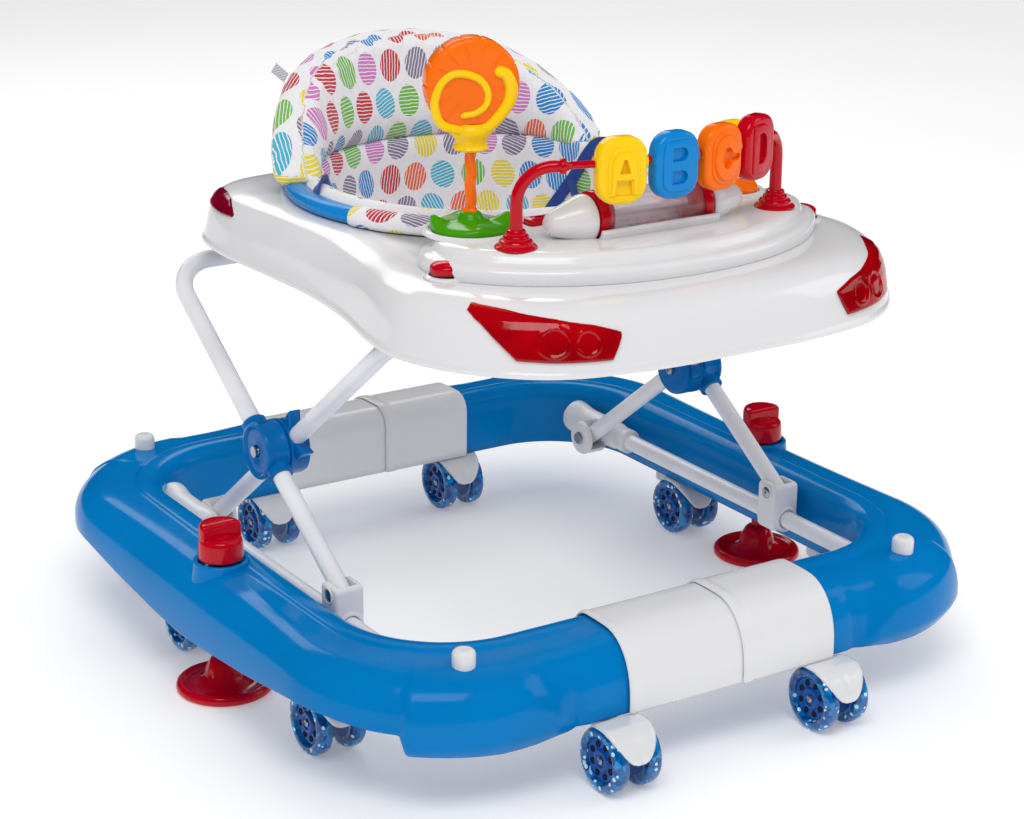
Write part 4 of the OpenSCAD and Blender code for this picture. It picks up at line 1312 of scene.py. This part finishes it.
def make_spinner(x, y):
    """A small flower on a post."""
    middle = box_mm("spinner_toy")[1].z - 21
    face = [(21.2, 0), (21, 3.6), (20, 5.6), (18, 6.6), (14, 6.2), (10, 5.8), (8.5, 6.4), (7, 7.4), (0, 7.4)]
    disc = lathe("spinner_head", mm(x, y, middle), (0, 1, 0), face + [(r, -h) for r, h in face[::-1]], 72,
                 lambda a, h: 1 + 0.03 * math.cos(6 * a), material=YELLOW)
    top = middle - CONSOLE_TOP
    post = lathe("spinner_post", mm(x, y, CONSOLE_TOP), (0, 0, 1),
                 [(0, 5), (4.6, 5), (4.6, 17), (6, 18), (6, 20), (4.6, 21), (5, top - 19), (7, top - 17),
                  (0, top - 14)], 32, material=YELLOW)
    piece(joined("spinner_flower", disc, post), "spinner", "yellow_plastic", "spinner_toy")


# ---- seat -----------------------------------------------------------------------------


def at_seat(theta, r, z):
    """A point round the seat: theta in degrees from +x, radius and height in millimetres."""
    a = math.radians(theta)
    return mm(SEAT.x + r * math.cos(a), SEAT.y + r * math.sin(a), z)


def seat_polar(point):
    """(theta in radians, radius, height) of a point of the frame, round the seat's middle."""
    x = point.x / MM - SEAT.x
    y = (point.y - BASE_Y) / MM - SEAT.y
    return math.atan2(y, x), math.hypot(x, y), point.z / MM


def cloth_uv(obj, measure, reach=150):
    """Lays the cloth's print round the seat. measure(radius, height, how far the face looks outwards,
    how far it looks up) gives the print's shift round the seat and its place across, in millimetres."""
    mesh = obj.data
    layer = mesh.uv_layers.new(name="cloth") if not mesh.uv_layers else mesh.uv_layers[0]
    for poly in mesh.polygons:
        middle = seat_polar(poly.center)[0]
        outward = Vector((math.cos(middle), math.sin(middle), 0)).dot(poly.normal)
        for i in poly.loop_indices:
            theta, r, z = seat_polar(mesh.vertices[mesh.loops[i].vertex_index].co)
            theta = middle + (theta - middle + math.pi) % TAU - math.pi
            slide, along = measure(r, z, outward, poly.normal.z)
            layer.data[i].uv = ((theta * reach + slide) * MM, along * MM)


def ring_shown(theta):
    """1 where the seat ring is bare, 0 where the fabric is folded over it."""
    bare = 0.0
    for middle in (174, 6):
        off = abs((theta - middle + 180) % 360 - 180)
        bare = max(bare, 1 - smoothstep(21, 25, off))
    return bare


def make_seat_ring():
    profile = [(157, 379), (163.4, 379), (163.4, 397.9), (171.5, 398), (175, 399.6), (176.4, 403),
               (176, 407), (173.6, 410), (169, 411.4), (163, 411.4), (158.5, 410), (157, 407), (157, 379)]
    hoop = lathe("seat_hoop", mm(SEAT.x, SEAT.y, 0), (0, 0, 1), profile, 144, material=SEAT_BLUE, sharp=50)
    piece(hoop, "tray", "ring_blue", "seat_ring")


SEAT_SKIN = [(178.2, 399), (179, 402), (178.8, 406), (177, 410), (173, 413), (168, 414), (163.5, 413),
             (160.4, 410.5), (158.6, 409.6), (156.8, 411.5), (154.4, 414.6), (150.4, 416), (146.4, 415),
             (143.4, 411.4), (142.2, 405), (142, 396), (141.4, 386), (140, 374), (138, 361), (135.4, 348),
             (132, 337), (128, 326), (123.6, 315), (119, 304), (114, 294), (109, 285), (102, 278), (92, 273),
             (80, 270), (66, 268), (50, 267), (34, 266.6), (18, 266.5), (0, 266.5)]


SEAT_FLOOR = SEAT_SKIN[:22:-1]         # the bottom of the bucket, from its middle outwards
HOOP_R, HOOP_Z = 159.5, 408            # where the fabric stops along the bare hoop
LEG_X, LEG_Y, LEG_R = 62, 22, 45       # the leg holes' middles and radius
BINDING_R = 2.2


def make_seat_fabric():
    steps = 216
    rings = []
    for r, z in SEAT_SKIN:
        ring = []
        for i in range(steps):
            theta = 360 * i / steps
            bare = ring_shown(theta) if r > HOOP_R else 0.0
            rr = r + (HOOP_R - r) * bare
            zz = z + (HOOP_Z - z) * bare
            a = math.radians(theta)
            ripple = noise.noise(Vector((math.cos(a) * 4.2, math.sin(a) * 4.2, z * 0.018)))
            pucker = noise.noise(Vector((math.cos(a) * 15, math.sin(a) * 15, z * 0.03 + 7)))
            soft = smoothstep(410, 385, z) * smoothstep(266, 282, z)
            hem = smoothstep(396, 404, z) * (1 - bare)
            rr += soft * (3.2 * ripple + 1.1 * pucker) + hem * 0.7 * pucker
            zz += 0.5 * pucker * (1 - bare)
            panel = abs((theta + 22.5) % 45 - 22.5)
            rr += soft * 1.3 * math.exp(-(panel / 0.7) ** 2)
            ring.append(at_seat(theta, max(0.0, rr), zz))
        rings.append(ring)
    seat = loft("seat_bucket", rings, caps=(False, False), material=PRINT, sharp=80)
    for side in (LEFT, RIGHT):
        cut(seat, rod("leg_hole", mm(side * LEG_X, LEG_Y, 266), (0, 0, 1), LEG_R, 30, 56))

    def measure(r, z, outward, up):
        if r < 150:
            return 0, r + z
        if r < 159.6:
            return 11, r + z
        return 23, r + 2 * 414 - z

    cloth_uv(seat, measure)
    thickened(seat, 2.2)
    piece(seat, "tray", "seat_print", "seat_fabric")
    piece(joined("leg_bindings", *(leg_binding(side, word) for side, word in SIDES)), "tray", "navy_webbing")


def leg_binding(side, word):
    """The corded edge of a leg hole, which follows the bucket's floor."""
    rings = []
    for k in range(72):
        a = TAU * k / 72
        edge = Vector((side * LEG_X + LEG_R * math.cos(a), LEG_Y + LEG_R * math.sin(a))) - SEAT
        height = lerp_table(SEAT_FLOOR, edge.length) + 0.8
        ring = []
        for j in range(10):
            b = TAU * j / 10
            reach = LEG_R + BINDING_R * math.cos(b)
            ring.append(mm(side * LEG_X + reach * math.cos(a), LEG_Y + reach * math.sin(a),
                           height + BINDING_R * math.sin(b)))
        rings.append(ring)
    return loft(f"leg_binding_{word}", rings, caps=(False, False), wrap_rows=True, material=NAVY)


BACK_TOP = box_mm("back_rest")[1].z - 2
BACK_FOOT = 409.5
# Height of the seat back by angle from its middle, as a share of its height there
BACK_ARCH = [(0, 1), (10, 0.992), (20, 0.957), (30, 0.905), (40, 0.816), (50, 0.674), (58, 0.52),
             (64, 0.39), (68, 0.27), (70.5, 0.15)]
# The back's section: (radius, share of its height), up its front face, over the top and down behind
BACK_SECTION = [(151, 0.0), (145.5, 0.02), (141.5, 0.07), (140, 0.15), (141, 0.26), (143, 0.38),
                (146, 0.5), (149, 0.62), (152, 0.73), (154.6, 0.83), (157, 0.91), (160, 0.965),
                (164.5, 0.995), (170, 1.0), (175, 0.98), (179, 0.935), (181.6, 0.86), (183.2, 0.75),
                (184, 0.62), (184, 0.48), (183, 0.34), (180.6, 0.21), (177, 0.1), (172, 0.02), (166, 0.0),
                (158, 0.0)]
BACK_END = 70                          # half angle that the back spans


def back_height(angle):
    return (BACK_TOP - BACK_FOOT) * lerp_table(BACK_ARCH, abs(angle))


def back_rings():
    rings = []
    for k in range(-4, 89):
        tuck = 0.0
        angle = BACK_END * (min(84, max(0, k)) / 42 - 1)
        if k < 0 or k > 84:
            tuck = (-k if k < 0 else k - 84) / 4
            angle += math.copysign(3.2 * math.sin(tuck * math.pi / 2), angle)
        height = back_height(angle)
        shrink = math.cos(tuck * math.pi / 2) * 0.97 + 0.03
        ring = []
        for r, share in BACK_SECTION:
            z = BACK_FOOT + height * share
            rc, zc = 162, BACK_FOOT + height * 0.45
            ring.append(at_seat(90 - angle, rc + (r - rc) * shrink, zc + (z - zc) * shrink))
        rings.append(ring)
    return rings


CLOTH_STEPS = 20


def puff(obj, pressure, cap):
    """Blows the padding up with Blender's cloth, from a mesh with even faces. No point moves further
    than cap millimetres."""
    remesh = obj.modifiers.new("even", "REMESH")
    remesh.mode = "VOXEL"
    remesh.voxel_size = 0.0045
    apply_modifiers(obj, 80)
    start = [v.co.copy() for v in obj.data.vertices]
    cloth = obj.modifiers.new("cloth", "CLOTH")
    cloth.settings.quality = 5
    cloth.settings.mass = 0.15
    cloth.settings.tension_stiffness = 18
    cloth.settings.compression_stiffness = 18
    cloth.settings.bending_stiffness = 0.4
    cloth.settings.use_pressure = True
    cloth.settings.uniform_pressure_force = pressure
    cloth.settings.effector_weights.gravity = 0
    cloth.collision_settings.use_collision = False
    scene = bpy.context.scene
    for step in range(1, CLOTH_STEPS + 1):
        scene.frame_set(step)
    graph = bpy.context.evaluated_depsgraph_get()
    mesh = bpy.data.meshes.new_from_object(obj.evaluated_get(graph))
    obj.modifiers.clear()
    for v, old in zip(mesh.vertices, start):
        move = v.co - old
        if move.length > cap * MM:
            move *= cap * MM / move.length
        v.co = old + move
    obj.data = mesh
    scene.frame_set(1)


def sew_back(obj):
    """Seams and gathers of the seat back, after the padding has been blown up."""
    for v in obj.data.vertices:
        theta, r, z = seat_polar(v.co)
        angle = 90 - math.degrees(theta)
        angle = (angle + 180) % 360 - 180
        height = back_height(max(-BACK_END, min(BACK_END, angle)))
        share = (z - BACK_FOOT) / max(height, 1.0)
        radial = Vector((math.cos(theta), math.sin(theta), 0))
        front = smoothstep(168, 158, r)
        seam_at = 0.90 - 0.06 * math.sin(math.radians(angle * 3)) ** 2
        seam = math.exp(-((share - seam_at) * height / 2.2) ** 2) * front
        ends = math.exp(-((abs(angle) - 62) / 1.1) ** 2) * smoothstep(0.05, 0.3, share) * front
        gather = smoothstep(0.45, 0.03, share) * front
        folds = noise.noise(Vector((angle * 0.22, z * 0.012, 3.1)))
        fine = noise.noise(Vector((angle * 0.6, z * 0.03, 9.7)))
        wrinkle = gather * (1.6 * folds + 0.8 * fine) + 0.9 * fine * (1 - gather)
        v.co += radial * MM * (1.8 * seam + 1.5 * ends + wrinkle)


def make_back_rest():
    back = loft("seat_back", back_rings(), material=PRINT, sharp=80)
    puff(back, 4.0, 5.0)
    back.modifiers.new("smooth", "SUBSURF").levels = 1
    apply_modifiers(back, 80)
    sew_back(back)

    def measure(r, z, outward, up):
        if outward < 0.1 and r < 159:
            return 5, z
        if up > 0.25:
            return 17, BACK_TOP + r - 150
        return 9, 2 * BACK_TOP - z

    cloth_uv(back, measure, 158)
    back.data.materials.clear()
    back.data.materials.append(PRINT)
    piece(back, "tray", "seat_print", "back_rest")
    tag = [[at_seat(139 - a, 179 + lift * 0.75, 487 + lift * 0.6 + b)
            for a, b in ((0, 0), (5, 4.5), (5, 5.3), (0, 0.8))] for lift in (0, 5, 10, 15)]
    piece(loft("back_tag", tag, material=TAG_CLOTH), "tray", "navy_webbing")


def ribbon(name, path, across, normals, width, thick, material):
    """A flat strap along a path; across and normals give its directions at each point."""
    rings = []
    for p, side, up in zip(path, across, normals):
        ring = []
        for k, (sx, sz) in enumerate(QUARTERS):
            for x, z in arc(sx * (width / 2 - 0.6), sz * (thick / 2 - 0.5), 0.5, 90 * k, 90 * k + 90, 3):
                ring.append(p + (side * x + up * z) * MM)
        rings.append(ring)
    return loft(name, rings, material=material, sharp=60)


WALL = [(z, r) for r, z in reversed(SEAT_SKIN[14:])]


def strap_on_wall(name, stops, width, side, off=2.6):
    """A strap that lies on the bucket's inner wall through (theta, height) stops; a third number moves
    a stop off the wall to its own radius."""
    line = smooth_path([Vector((s[0], s[1], s[2] if len(s) > 2 else lerp_table(WALL, s[1]) - off))
                        for s in stops], 8)
    path = [at_seat(p.x if side == RIGHT else 180 - p.x, p.z, p.y) for p in line]
    across, normals = [], []
    for i, p in enumerate(path):
        along = (path[min(i + 1, len(path) - 1)] - path[max(i - 1, 0)]).normalized()
        middle = mm(SEAT.x, SEAT.y, p.z / MM - 40)
        up = (middle - p).normalized()
        up = (up - along * up.dot(along)).normalized()
        across.append(along.cross(up))
        normals.append(up)
    return ribbon(name, path, across, normals, width, 1.8, NAVY)


def make_straps():
    for side, word in SIDES:
        long = strap_on_wall("strap", [(5, 407, 162), (6, 415.5, 158), (8, 419, 152), (10.5, 416.5, 144.5),
                                       (13, 406, 139.2), (17, 391), (21.6, 374), (25.5, 360), (29, 347)],
                             11, side)
        short = strap_on_wall("strap", [(19.6, 381), (18.2, 372), (16.2, 361), (14.4, 350)], 9, side, 3.4)
        straps = joined(f"seat_strap_{word}", long, short)
        piece(straps, "tray", "navy_webbing", *(["seat_straps"] if side == LEFT else []))


# ---- casters --------------------------------------------------------------------------

WHEEL_R = 28
WHEEL_HALF = 15.5                      # from the middle of a caster to the middle of a wheel
WHEEL_HOLES, HOLE_RING_R = 8, 13.4


def wheel_parts(x, y, out):
    """One wheel: glittering tyre, a darker recessed disc, and its holes drawn as dark discs of painted
    shade. out is its outer side.
    """
    at = mm(x + out * WHEEL_HALF, y, WHEEL_R)
    tyre = lathe("tyre", at, (out, 0, 0),
                 [(18.6, -6.2), (22, -6.9), (25.2, -6.6), (27.2, -5.2), (28, -3), (28, 3), (27.3, 5.2),
                  (25.4, 6.7), (22.4, 7.2), (20.6, 7.0), (19.6, 6.2), (19.2, 4.6), (18.6, 3.6),
                  (18.6, -6.2)], 72, material=TYRE, sharp=50)
    disc = lathe("wheel_disc", at, (out, 0, 0),
                 [(0, -6.2), (18.8, -6.2), (18.8, 3.4), (17.6, 4.0), (16.8, 3.4), (10.2, 3.2), (9.4, 4.2),
                  (8.6, 4.9), (6.6, 5.2), (5.6, 4.6), (5.2, 3.9), (0, 3.9)], 72, material=WHEEL_HUB,
                 sharp=40)
    parts = [tyre, disc]
    # Each hole is a dark disc of painted shade on the hub face, not an opening
    for k in range(WHEEL_HOLES):
        a = TAU * (k + 0.5) / WHEEL_HOLES
        spot = at + Vector((out * 3.0, HOLE_RING_R * math.cos(a), HOLE_RING_R * math.sin(a))) * MM
        parts.append(lathe("wheel_hole_shade", spot, (out, 0, 0),
                           [(0, 0.45), (1.7, 0.45), (1.9, 0.9), (2.3, 1.1), (2.7, 0.9), (2.8, 0)], 20,
                           material=HOLE_SHADE_PAINT))
    parts.append(lathe("wheel_screw", at, (out, 0, 0),
                       [(3.4, 3.8), (3.3, 5.2), (2.4, 5.9), (1.0, 6.1), (0.9, 5.2), (0, 5.2)], 24,
                       material=ZINC))
    return parts


def hood_fender(x, y):
    """The white cover: full width over both wheels at the top, a rounded tongue in front."""
    half_at = [(62, 21), (80, 22.4), (112, 22.4), (130, 20.5), (143, 17.8), (156, 14.4), (165, 11.2),
               (170, 8.4), (173, 4.5)]
    first, last = half_at[0][0], half_at[-1][0]
    rows = []
    for k in range(37):
        angle = first + (last - first) * k / 36
        a = math.radians(angle)
        half = lerp_table(half_at, angle)
        row = []
        for j in range(17):
            u = -1 + j / 8
            r = 29.7 + 0.5 * math.exp(-(u * half / 0.7) ** 2) - 1.3 * max(0.0, abs(u) - 0.86) / 0.14
            row.append(mm(x + u * half, y + r * math.cos(a), min(WHEEL_R + r * math.sin(a), 56.6)))
        rows.append(row)
    cover = loft("hood_cover", rows, caps=(False, False), wrap_cols=False, material=WHITE, sharp=60)
    return thickened(cover, 1.1)


def hood_web(x, y):
    """The wall between the wheels that holds the axle, under the cover."""
    section = [(-7, 4.5), (-7, 27.8), (-6, 28.6), (6, 28.6), (7, 27.8), (7, 4.5)]
    rings = [[mm(x + sx, y + r * math.cos(a), WHEEL_R + r * math.sin(a)) for sx, r in section]
             for a in (math.radians(36 + 114 * k / 24) for k in range(25))]
    hub = rod("hood_boss", mm(x, y, WHEEL_R), (1, 0, 0), 6.6, 7.4, material=WHITE)
    return [loft("hood_wall", rings, material=WHITE, sharp=40), hub]


def make_casters():
    for i in range(1, 9):
        stem = joint_mm(f"caster_{i}_swivel")
        axle = joint_mm(f"wheels_{i}_spin")
        x, y = stem.x, stem.y
        parts = [hood_fender(axle.x, axle.y)] + hood_web(axle.x, axle.y)
        parts.append(lathe("caster_stem", mm(x, y, 0), (0, 0, 1),
                           [(0, 41), (6, 41), (7.6, 42.5), (8, 45), (8, 52), (7.4, 54.5), (9.4, 55.5),
                            (9.4, 57.5), (7, 58.5), (4.5, 59.5), (4.5, 103), (3.6, 104), (0, 104)], 36,
                           material=WHITE))
        outline = [(x + 7.6, axle.y + 4), (x + 7.4, y)] + arc(x, y, 7.4, 0, 180, 10)[1:]
        outline += [(x - 7.6, axle.y + 4)]
        parts.append(slab("caster_arm", outline, 43, 53.4, 1.6, mm, 4, material=WHITE))
        ends = [mm(x - 16, axle.y, WHEEL_R), mm(x + 16, axle.y, WHEEL_R)]
        parts.append(tube("caster_axle", ends, 2.5 * MM, 20, material=ZINC))
        piece(joined(f"caster_hood_{i}", *parts), f"caster_{i}", "white_plastic", f"caster_fork_{i}")
        wheels = wheel_parts(axle.x, axle.y, LEFT) + wheel_parts(axle.x, axle.y, RIGHT)
        piece(joined(f"caster_tyres_{i}", *wheels), f"wheels_{i}", "wheel_blue", f"caster_wheels_{i}")


# ---- lift hubs, sliders and brackets --------------------------------------------------

HUB = joint_mm("hub_turn")
SLIDE = joint_mm("slider_turn")
PIVOT = joint_mm("fold")
RAIL_X = middle_mm("hub_outer").x + box_mm("hub_outer")[1].x - 12
RAIL_Z = 88
FRONT_LEG, REAR_LEG = 212, 232         # how far out the lift's two pairs of tubes run


def leg_direction(a, b):
    return Vector((0, b.y - a.y, b.z - a.z)).normalized()


FRONT_DIR = leg_direction(PIVOT, HUB)
REAR_DIR = leg_direction(SLIDE, HUB)


def leg_bore(side, x, direction):
    """A rod along a lift leg through the hub's axis, to cut its bore with."""
    return rod("leg_cutter", mm(side * x, HUB.y, HUB.z), direction, 8.7, 60)


def side_on(side):
    """For slab: puts (y, z, distance out from the middle) of one side into the frame."""
    return lambda y, z, x: mm(side * x, y, z)


def make_hubs():
    inner, outer = [], []
    for side, word in SIDES:
        at = mm(0, HUB.y, HUB.z)
        drum = lathe("hub_drum_out", at, (side, 0, 0),
                     [(0, 222.3), (22, 222.3), (24.6, 222.6), (25.4, 223.6), (25.4, 226), (24.8, 227),
                      (24.8, 239), (25.4, 240), (25.4, 242), (24.4, 243.6), (22.4, 244.2), (20.4, 243.4),
                      (19, 242), (9, 241.6), (7.4, 242.4), (5.8, 242.6), (4.8, 241.4), (4.6, 239.6),
                      (0, 239.6)], 96, material=HUB_BLUE, sharp=35)
        cut(drum, leg_bore(side, REAR_LEG, REAR_DIR))
        outer.append(drum)
        for turn in (1, -1):
            outer.append(lathe("hub_cuff", mm(side * REAR_LEG, HUB.y, HUB.z), REAR_DIR * turn,
                               [(8.1, 31), (10.6, 31), (11.4, 30), (11.4, 20), (8.1, 20)], 40,
                               material=HUB_BLUE))
        disc = lathe("hub_drum_in", at, (side, 0, 0),
                     [(0, 201.4), (19, 201.4), (22.6, 201.8), (24.4, 203), (25, 205), (25, 219), (25.4, 220),
                      (25.4, 221.2), (24.6, 221.7), (0, 221.7)], 96, material=HUB_BLUE, sharp=35)
        cut(disc, leg_bore(side, FRONT_LEG, FRONT_DIR))
        inner += [disc, hub_fin(side, 32), hub_fin(side, -32)]
        for x, direction in ((245.2, side), (200.2, -side)):
            screw = lathe(f"hub_screw_{word}_{x:.0f}", mm(side * (x - 2), HUB.y, HUB.z), (direction, 0, 0),
                          [(4.2, -3), (4.2, -0.4), (3.6, 0.4), (2.4, 0.8), (1.4, 0.8), (1.2, -0.4),
                           (0, -0.4)], 32, material=ZINC)
            piece(screw, "front_lift", "zinc_screw")
    piece(joined("hub_drums_outer", *outer), "rear_lift", "ring_blue", "hub_outer")
    piece(joined("hub_drums_inner", *inner), "front_lift", "ring_blue", "hub_inner")


def hub_fin(side, turn):
    """A pointed fin beside the front tube, curved like a leaf."""
    angle = math.atan2(FRONT_DIR.z, FRONT_DIR.y) + math.radians(turn)
    c, s = math.cos(angle), math.sin(angle)
    outline = [(10, -9.5), (22, -8), (31, -4), (38.5, 0), (31, 4), (22, 8), (10, 9.5)]

    def place(u, v, x):
        return mm(side * (206 + x), HUB.y + u * c - v * s, HUB.z + u * s + v * c)

    return slab("hub_fin", outline, 0, 12, 2.2, place, 4, material=HUB_BLUE)


SLIDER_HALF = 13.6                     # half the width of a slider block


def make_sliders():
    parts = []
    for side in (LEFT, RIGHT):
        block = slab("slider_block", rounded_box(SLIDE.y, 99.5, 27, 45, 5), RAIL_X - SLIDER_HALF,
                     RAIL_X + SLIDER_HALF, 3, side_on(side), 5, material=SLEEVE_WHITE)
        slot = slab("slot", [(SLIDE.y - 9.6, 103), (SLIDE.y + 40, 103), (SLIDE.y + 40, 140),
                             (SLIDE.y - 9.6, 140)], RAIL_X - 8.8, RAIL_X + 8.8, 0.1, side_on(side), 1)
        cut(block, slot)
        cut(block, rod("bore", mm(side * RAIL_X, SLIDE.y, RAIL_Z), (0, 1, 0), 8.6, 30))
        bevelled(block, 0.9, 3, 40)
        parts.append(block)
        for face in (LEFT, RIGHT):
            x = RAIL_X + face * (SLIDER_HALF - 0.2)
            parts.append(lathe("slider_ring", mm(side * x, SLIDE.y, SLIDE.z), (side * face, 0, 0),
                               [(7.6, -0.6), (7.6, 0.7), (6.8, 1.2), (5.8, 0.9), (5.6, 0.2)], 40,
                               material=SLEEVE_WHITE))
            parts.append(lathe("slider_screw", mm(side * x, SLIDE.y, SLIDE.z), (side * face, 0, 0),
                               [(5.4, -0.8), (5.2, 0.6), (4, 1.4), (1.4, 1.7), (1.2, 0.8), (0, 0.8)], 32,
                               material=ZINC))
        for end in (-1, 1):
            parts.append(lathe("slider_nose", mm(side * RAIL_X, SLIDE.y + end * 12.8, RAIL_Z), (0, end, 0),
                               [(8.7, -1), (12.6, -1), (12.4, 1.2), (11.2, 2.2), (9.6, 2.4), (8.7, 1.8)], 40,
                               material=SLEEVE_WHITE))
    piece(joined("slider_blocks", *parts), "sliders", "white_plastic", "sliders")


def make_rear_brackets():
    parts = []
    for side in (LEFT, RIGHT):
        cup = lathe("pivot_cup", mm(0, PIVOT.y, PIVOT.z), (side, 0, 0),
                    [(0, 198.2), (14, 198.2), (16.2, 198.8), (17, 200.4), (17, 220), (16, 221.4),
                     (14, 221.8), (0, 221.8)], 64, material=SLEEVE_WHITE)
        slot = slab("slot", [(PIVOT.y - 30, PIVOT.z - 9.6), (PIVOT.y + 10, PIVOT.z - 9.6),
                             (PIVOT.y + 10, PIVOT.z + 50), (PIVOT.y - 30, PIVOT.z + 50)],
                    FRONT_LEG - 9.2, FRONT_LEG + 9.2, 0.1, side_on(side), 1)
        cut(cup, slot)
        bevelled(cup, 0.8, 3, 40)
        parts.append(cup)
        parts.append(lathe("pivot_socket", mm(side * RAIL_X, 0, RAIL_Z), (0, 1, 0),
                           [(8.1, 124), (11, 124), (12.2, 125.4), (12.2, 136), (11.4, 138), (12, 140),
                            (13.4, 146), (13.8, 160), (13.8, 196), (14.4, 204), (16, 213), (17, 219),
                            (16.6, 221), (14, 221.5), (8.1, 221.5)], 56, material=SLEEVE_WHITE))
        parts.append(lathe("pivot_screw", mm(side * 198.4, PIVOT.y, PIVOT.z), (-side, 0, 0),
                           [(6.4, -1), (6.2, 1.6), (5, 2.5), (3, 3), (1.3, 3), (1.1, 1.8), (0, 1.8)], 32,
                           material=ZINC))
    piece(joined("pivot_brackets", *parts), "base", "white_plastic", "rear_pivot_brackets")


# ---- stoppers -------------------------------------------------------------------------


def make_stoppers():
    for side, word in SIDES:
        at = joint_mm(f"stopper_{word}")
        z0 = at.z
        top = box_mm(f"stopper_knob_{word}")[1].z
        skirt = lathe("knob_skirt", mm(at.x, at.y, z0), (0, 0, 1),
                      [(7, 0), (18.4, 0), (19.4, 0.8), (19.6, 2.2), (19.4, 9), (19.0, 15), (18.3, 17.6),
                       (16.6, 19.2), (14, 19.8), (7, 20)], 72, material=RED)
        h = top - z0
        grip_rings = []
        for inset, z in ((0, 17.4), (0, h - 4.4), (0.5, h - 2.6), (1.7, h - 1), (3.4, h - 0.2), (6, h)):
            r = 18.6 - inset
            loop = [(r * math.cos(math.radians(a)), r * math.sin(math.radians(a)))
                    for a in range(-14, 195, 8)]
            loop = [(x, max(y, -4 + inset * 0.8)) for x, y in loop]
            grip_rings.append([mm(at.x + side * x, at.y + y, z0 + z) for x, y in loop])
        grip = loft("knob_grip", grip_rings, material=RED, sharp=35)
        bevelled(grip, 1.0, 3, 35)
        pin = lathe("knob_pin", mm(at.x, at.y, z0), (0, 0, 1),
                    [(0, 17.8), (8, 17.8), (8, 20.5), (7.4, 21.6), (5, 22), (0, 22)], 40, material=RED)
        piece(joined(f"stopper_cap_{word}", skirt, grip, pin), f"stopper_knob_{word}", "red_plastic",
              f"stopper_knob_{word}")
        foot_top = box_mm(f"stopper_foot_{word}")[1].z - 8.5     # room to rise inside the knob

        def ribbed(a, h):
            return 1 + 0.05 * max(0.0, math.cos(12 * a)) * (14 < h < 24)

        foot = lathe("foot_disc", mm(at.x, at.y, 0), (0, 0, 1),
                     [(0, 1.6), (36, 1.6), (38, 0), (40.4, 0.3), (42.2, 2), (42.5, 4.6), (41.6, 7.2),
                      (39.4, 8.9), (37, 9.2), (35.4, 8.2), (34, 7.4), (28, 7.4), (23, 8.6), (20, 10.8),
                      (17.6, 13), (16.4, 15), (15.6, 19), (14.2, 24), (11.6, 28.6), (8.6, 30.8), (6.4, 31.4),
                      (5.9, 33), (5.9, foot_top - 1), (5, foot_top), (0, foot_top)], 96, ribbed,
                     material=RED, sharp=45)
        piece(foot, f"stopper_foot_{word}", "red_plastic", f"stopper_foot_{word}")


# ---- finishes of the CAD parts that stay ----------------------------------------------


def finish_cad_nodes():
    for node, material in (("rails", TUBE_WHITE), ("front_lift_tube", TUBE_WHITE),
                           ("rear_lift_tube", TUBE_WHITE), ("tray_brackets", WHITE), ("hub_pins", ZINC),
                           ("pivot_pins", ZINC)):
        mesh = frame["nodes"][node]
        if not mesh.material_slots:
            mesh.data.materials.append(material)
        for slot in mesh.material_slots:
            slot.material = material


# ---- the walker -----------------------------------------------------------------------

make_camera()
make_studio()
make_base()
make_sleeves()
make_plugs()
make_tray()
make_lamps()
make_console()
make_drum()
make_button()
make_latches()
make_arch()
for letter in LETTERS:
    make_letter(letter)
make_lollipop()
make_toy_dishes()
make_seat_ring()
make_seat_fabric()
make_back_rest()
make_straps()
make_casters()
make_hubs()
make_sliders()
make_rear_brackets()
make_stoppers()
finish_cad_nodes()
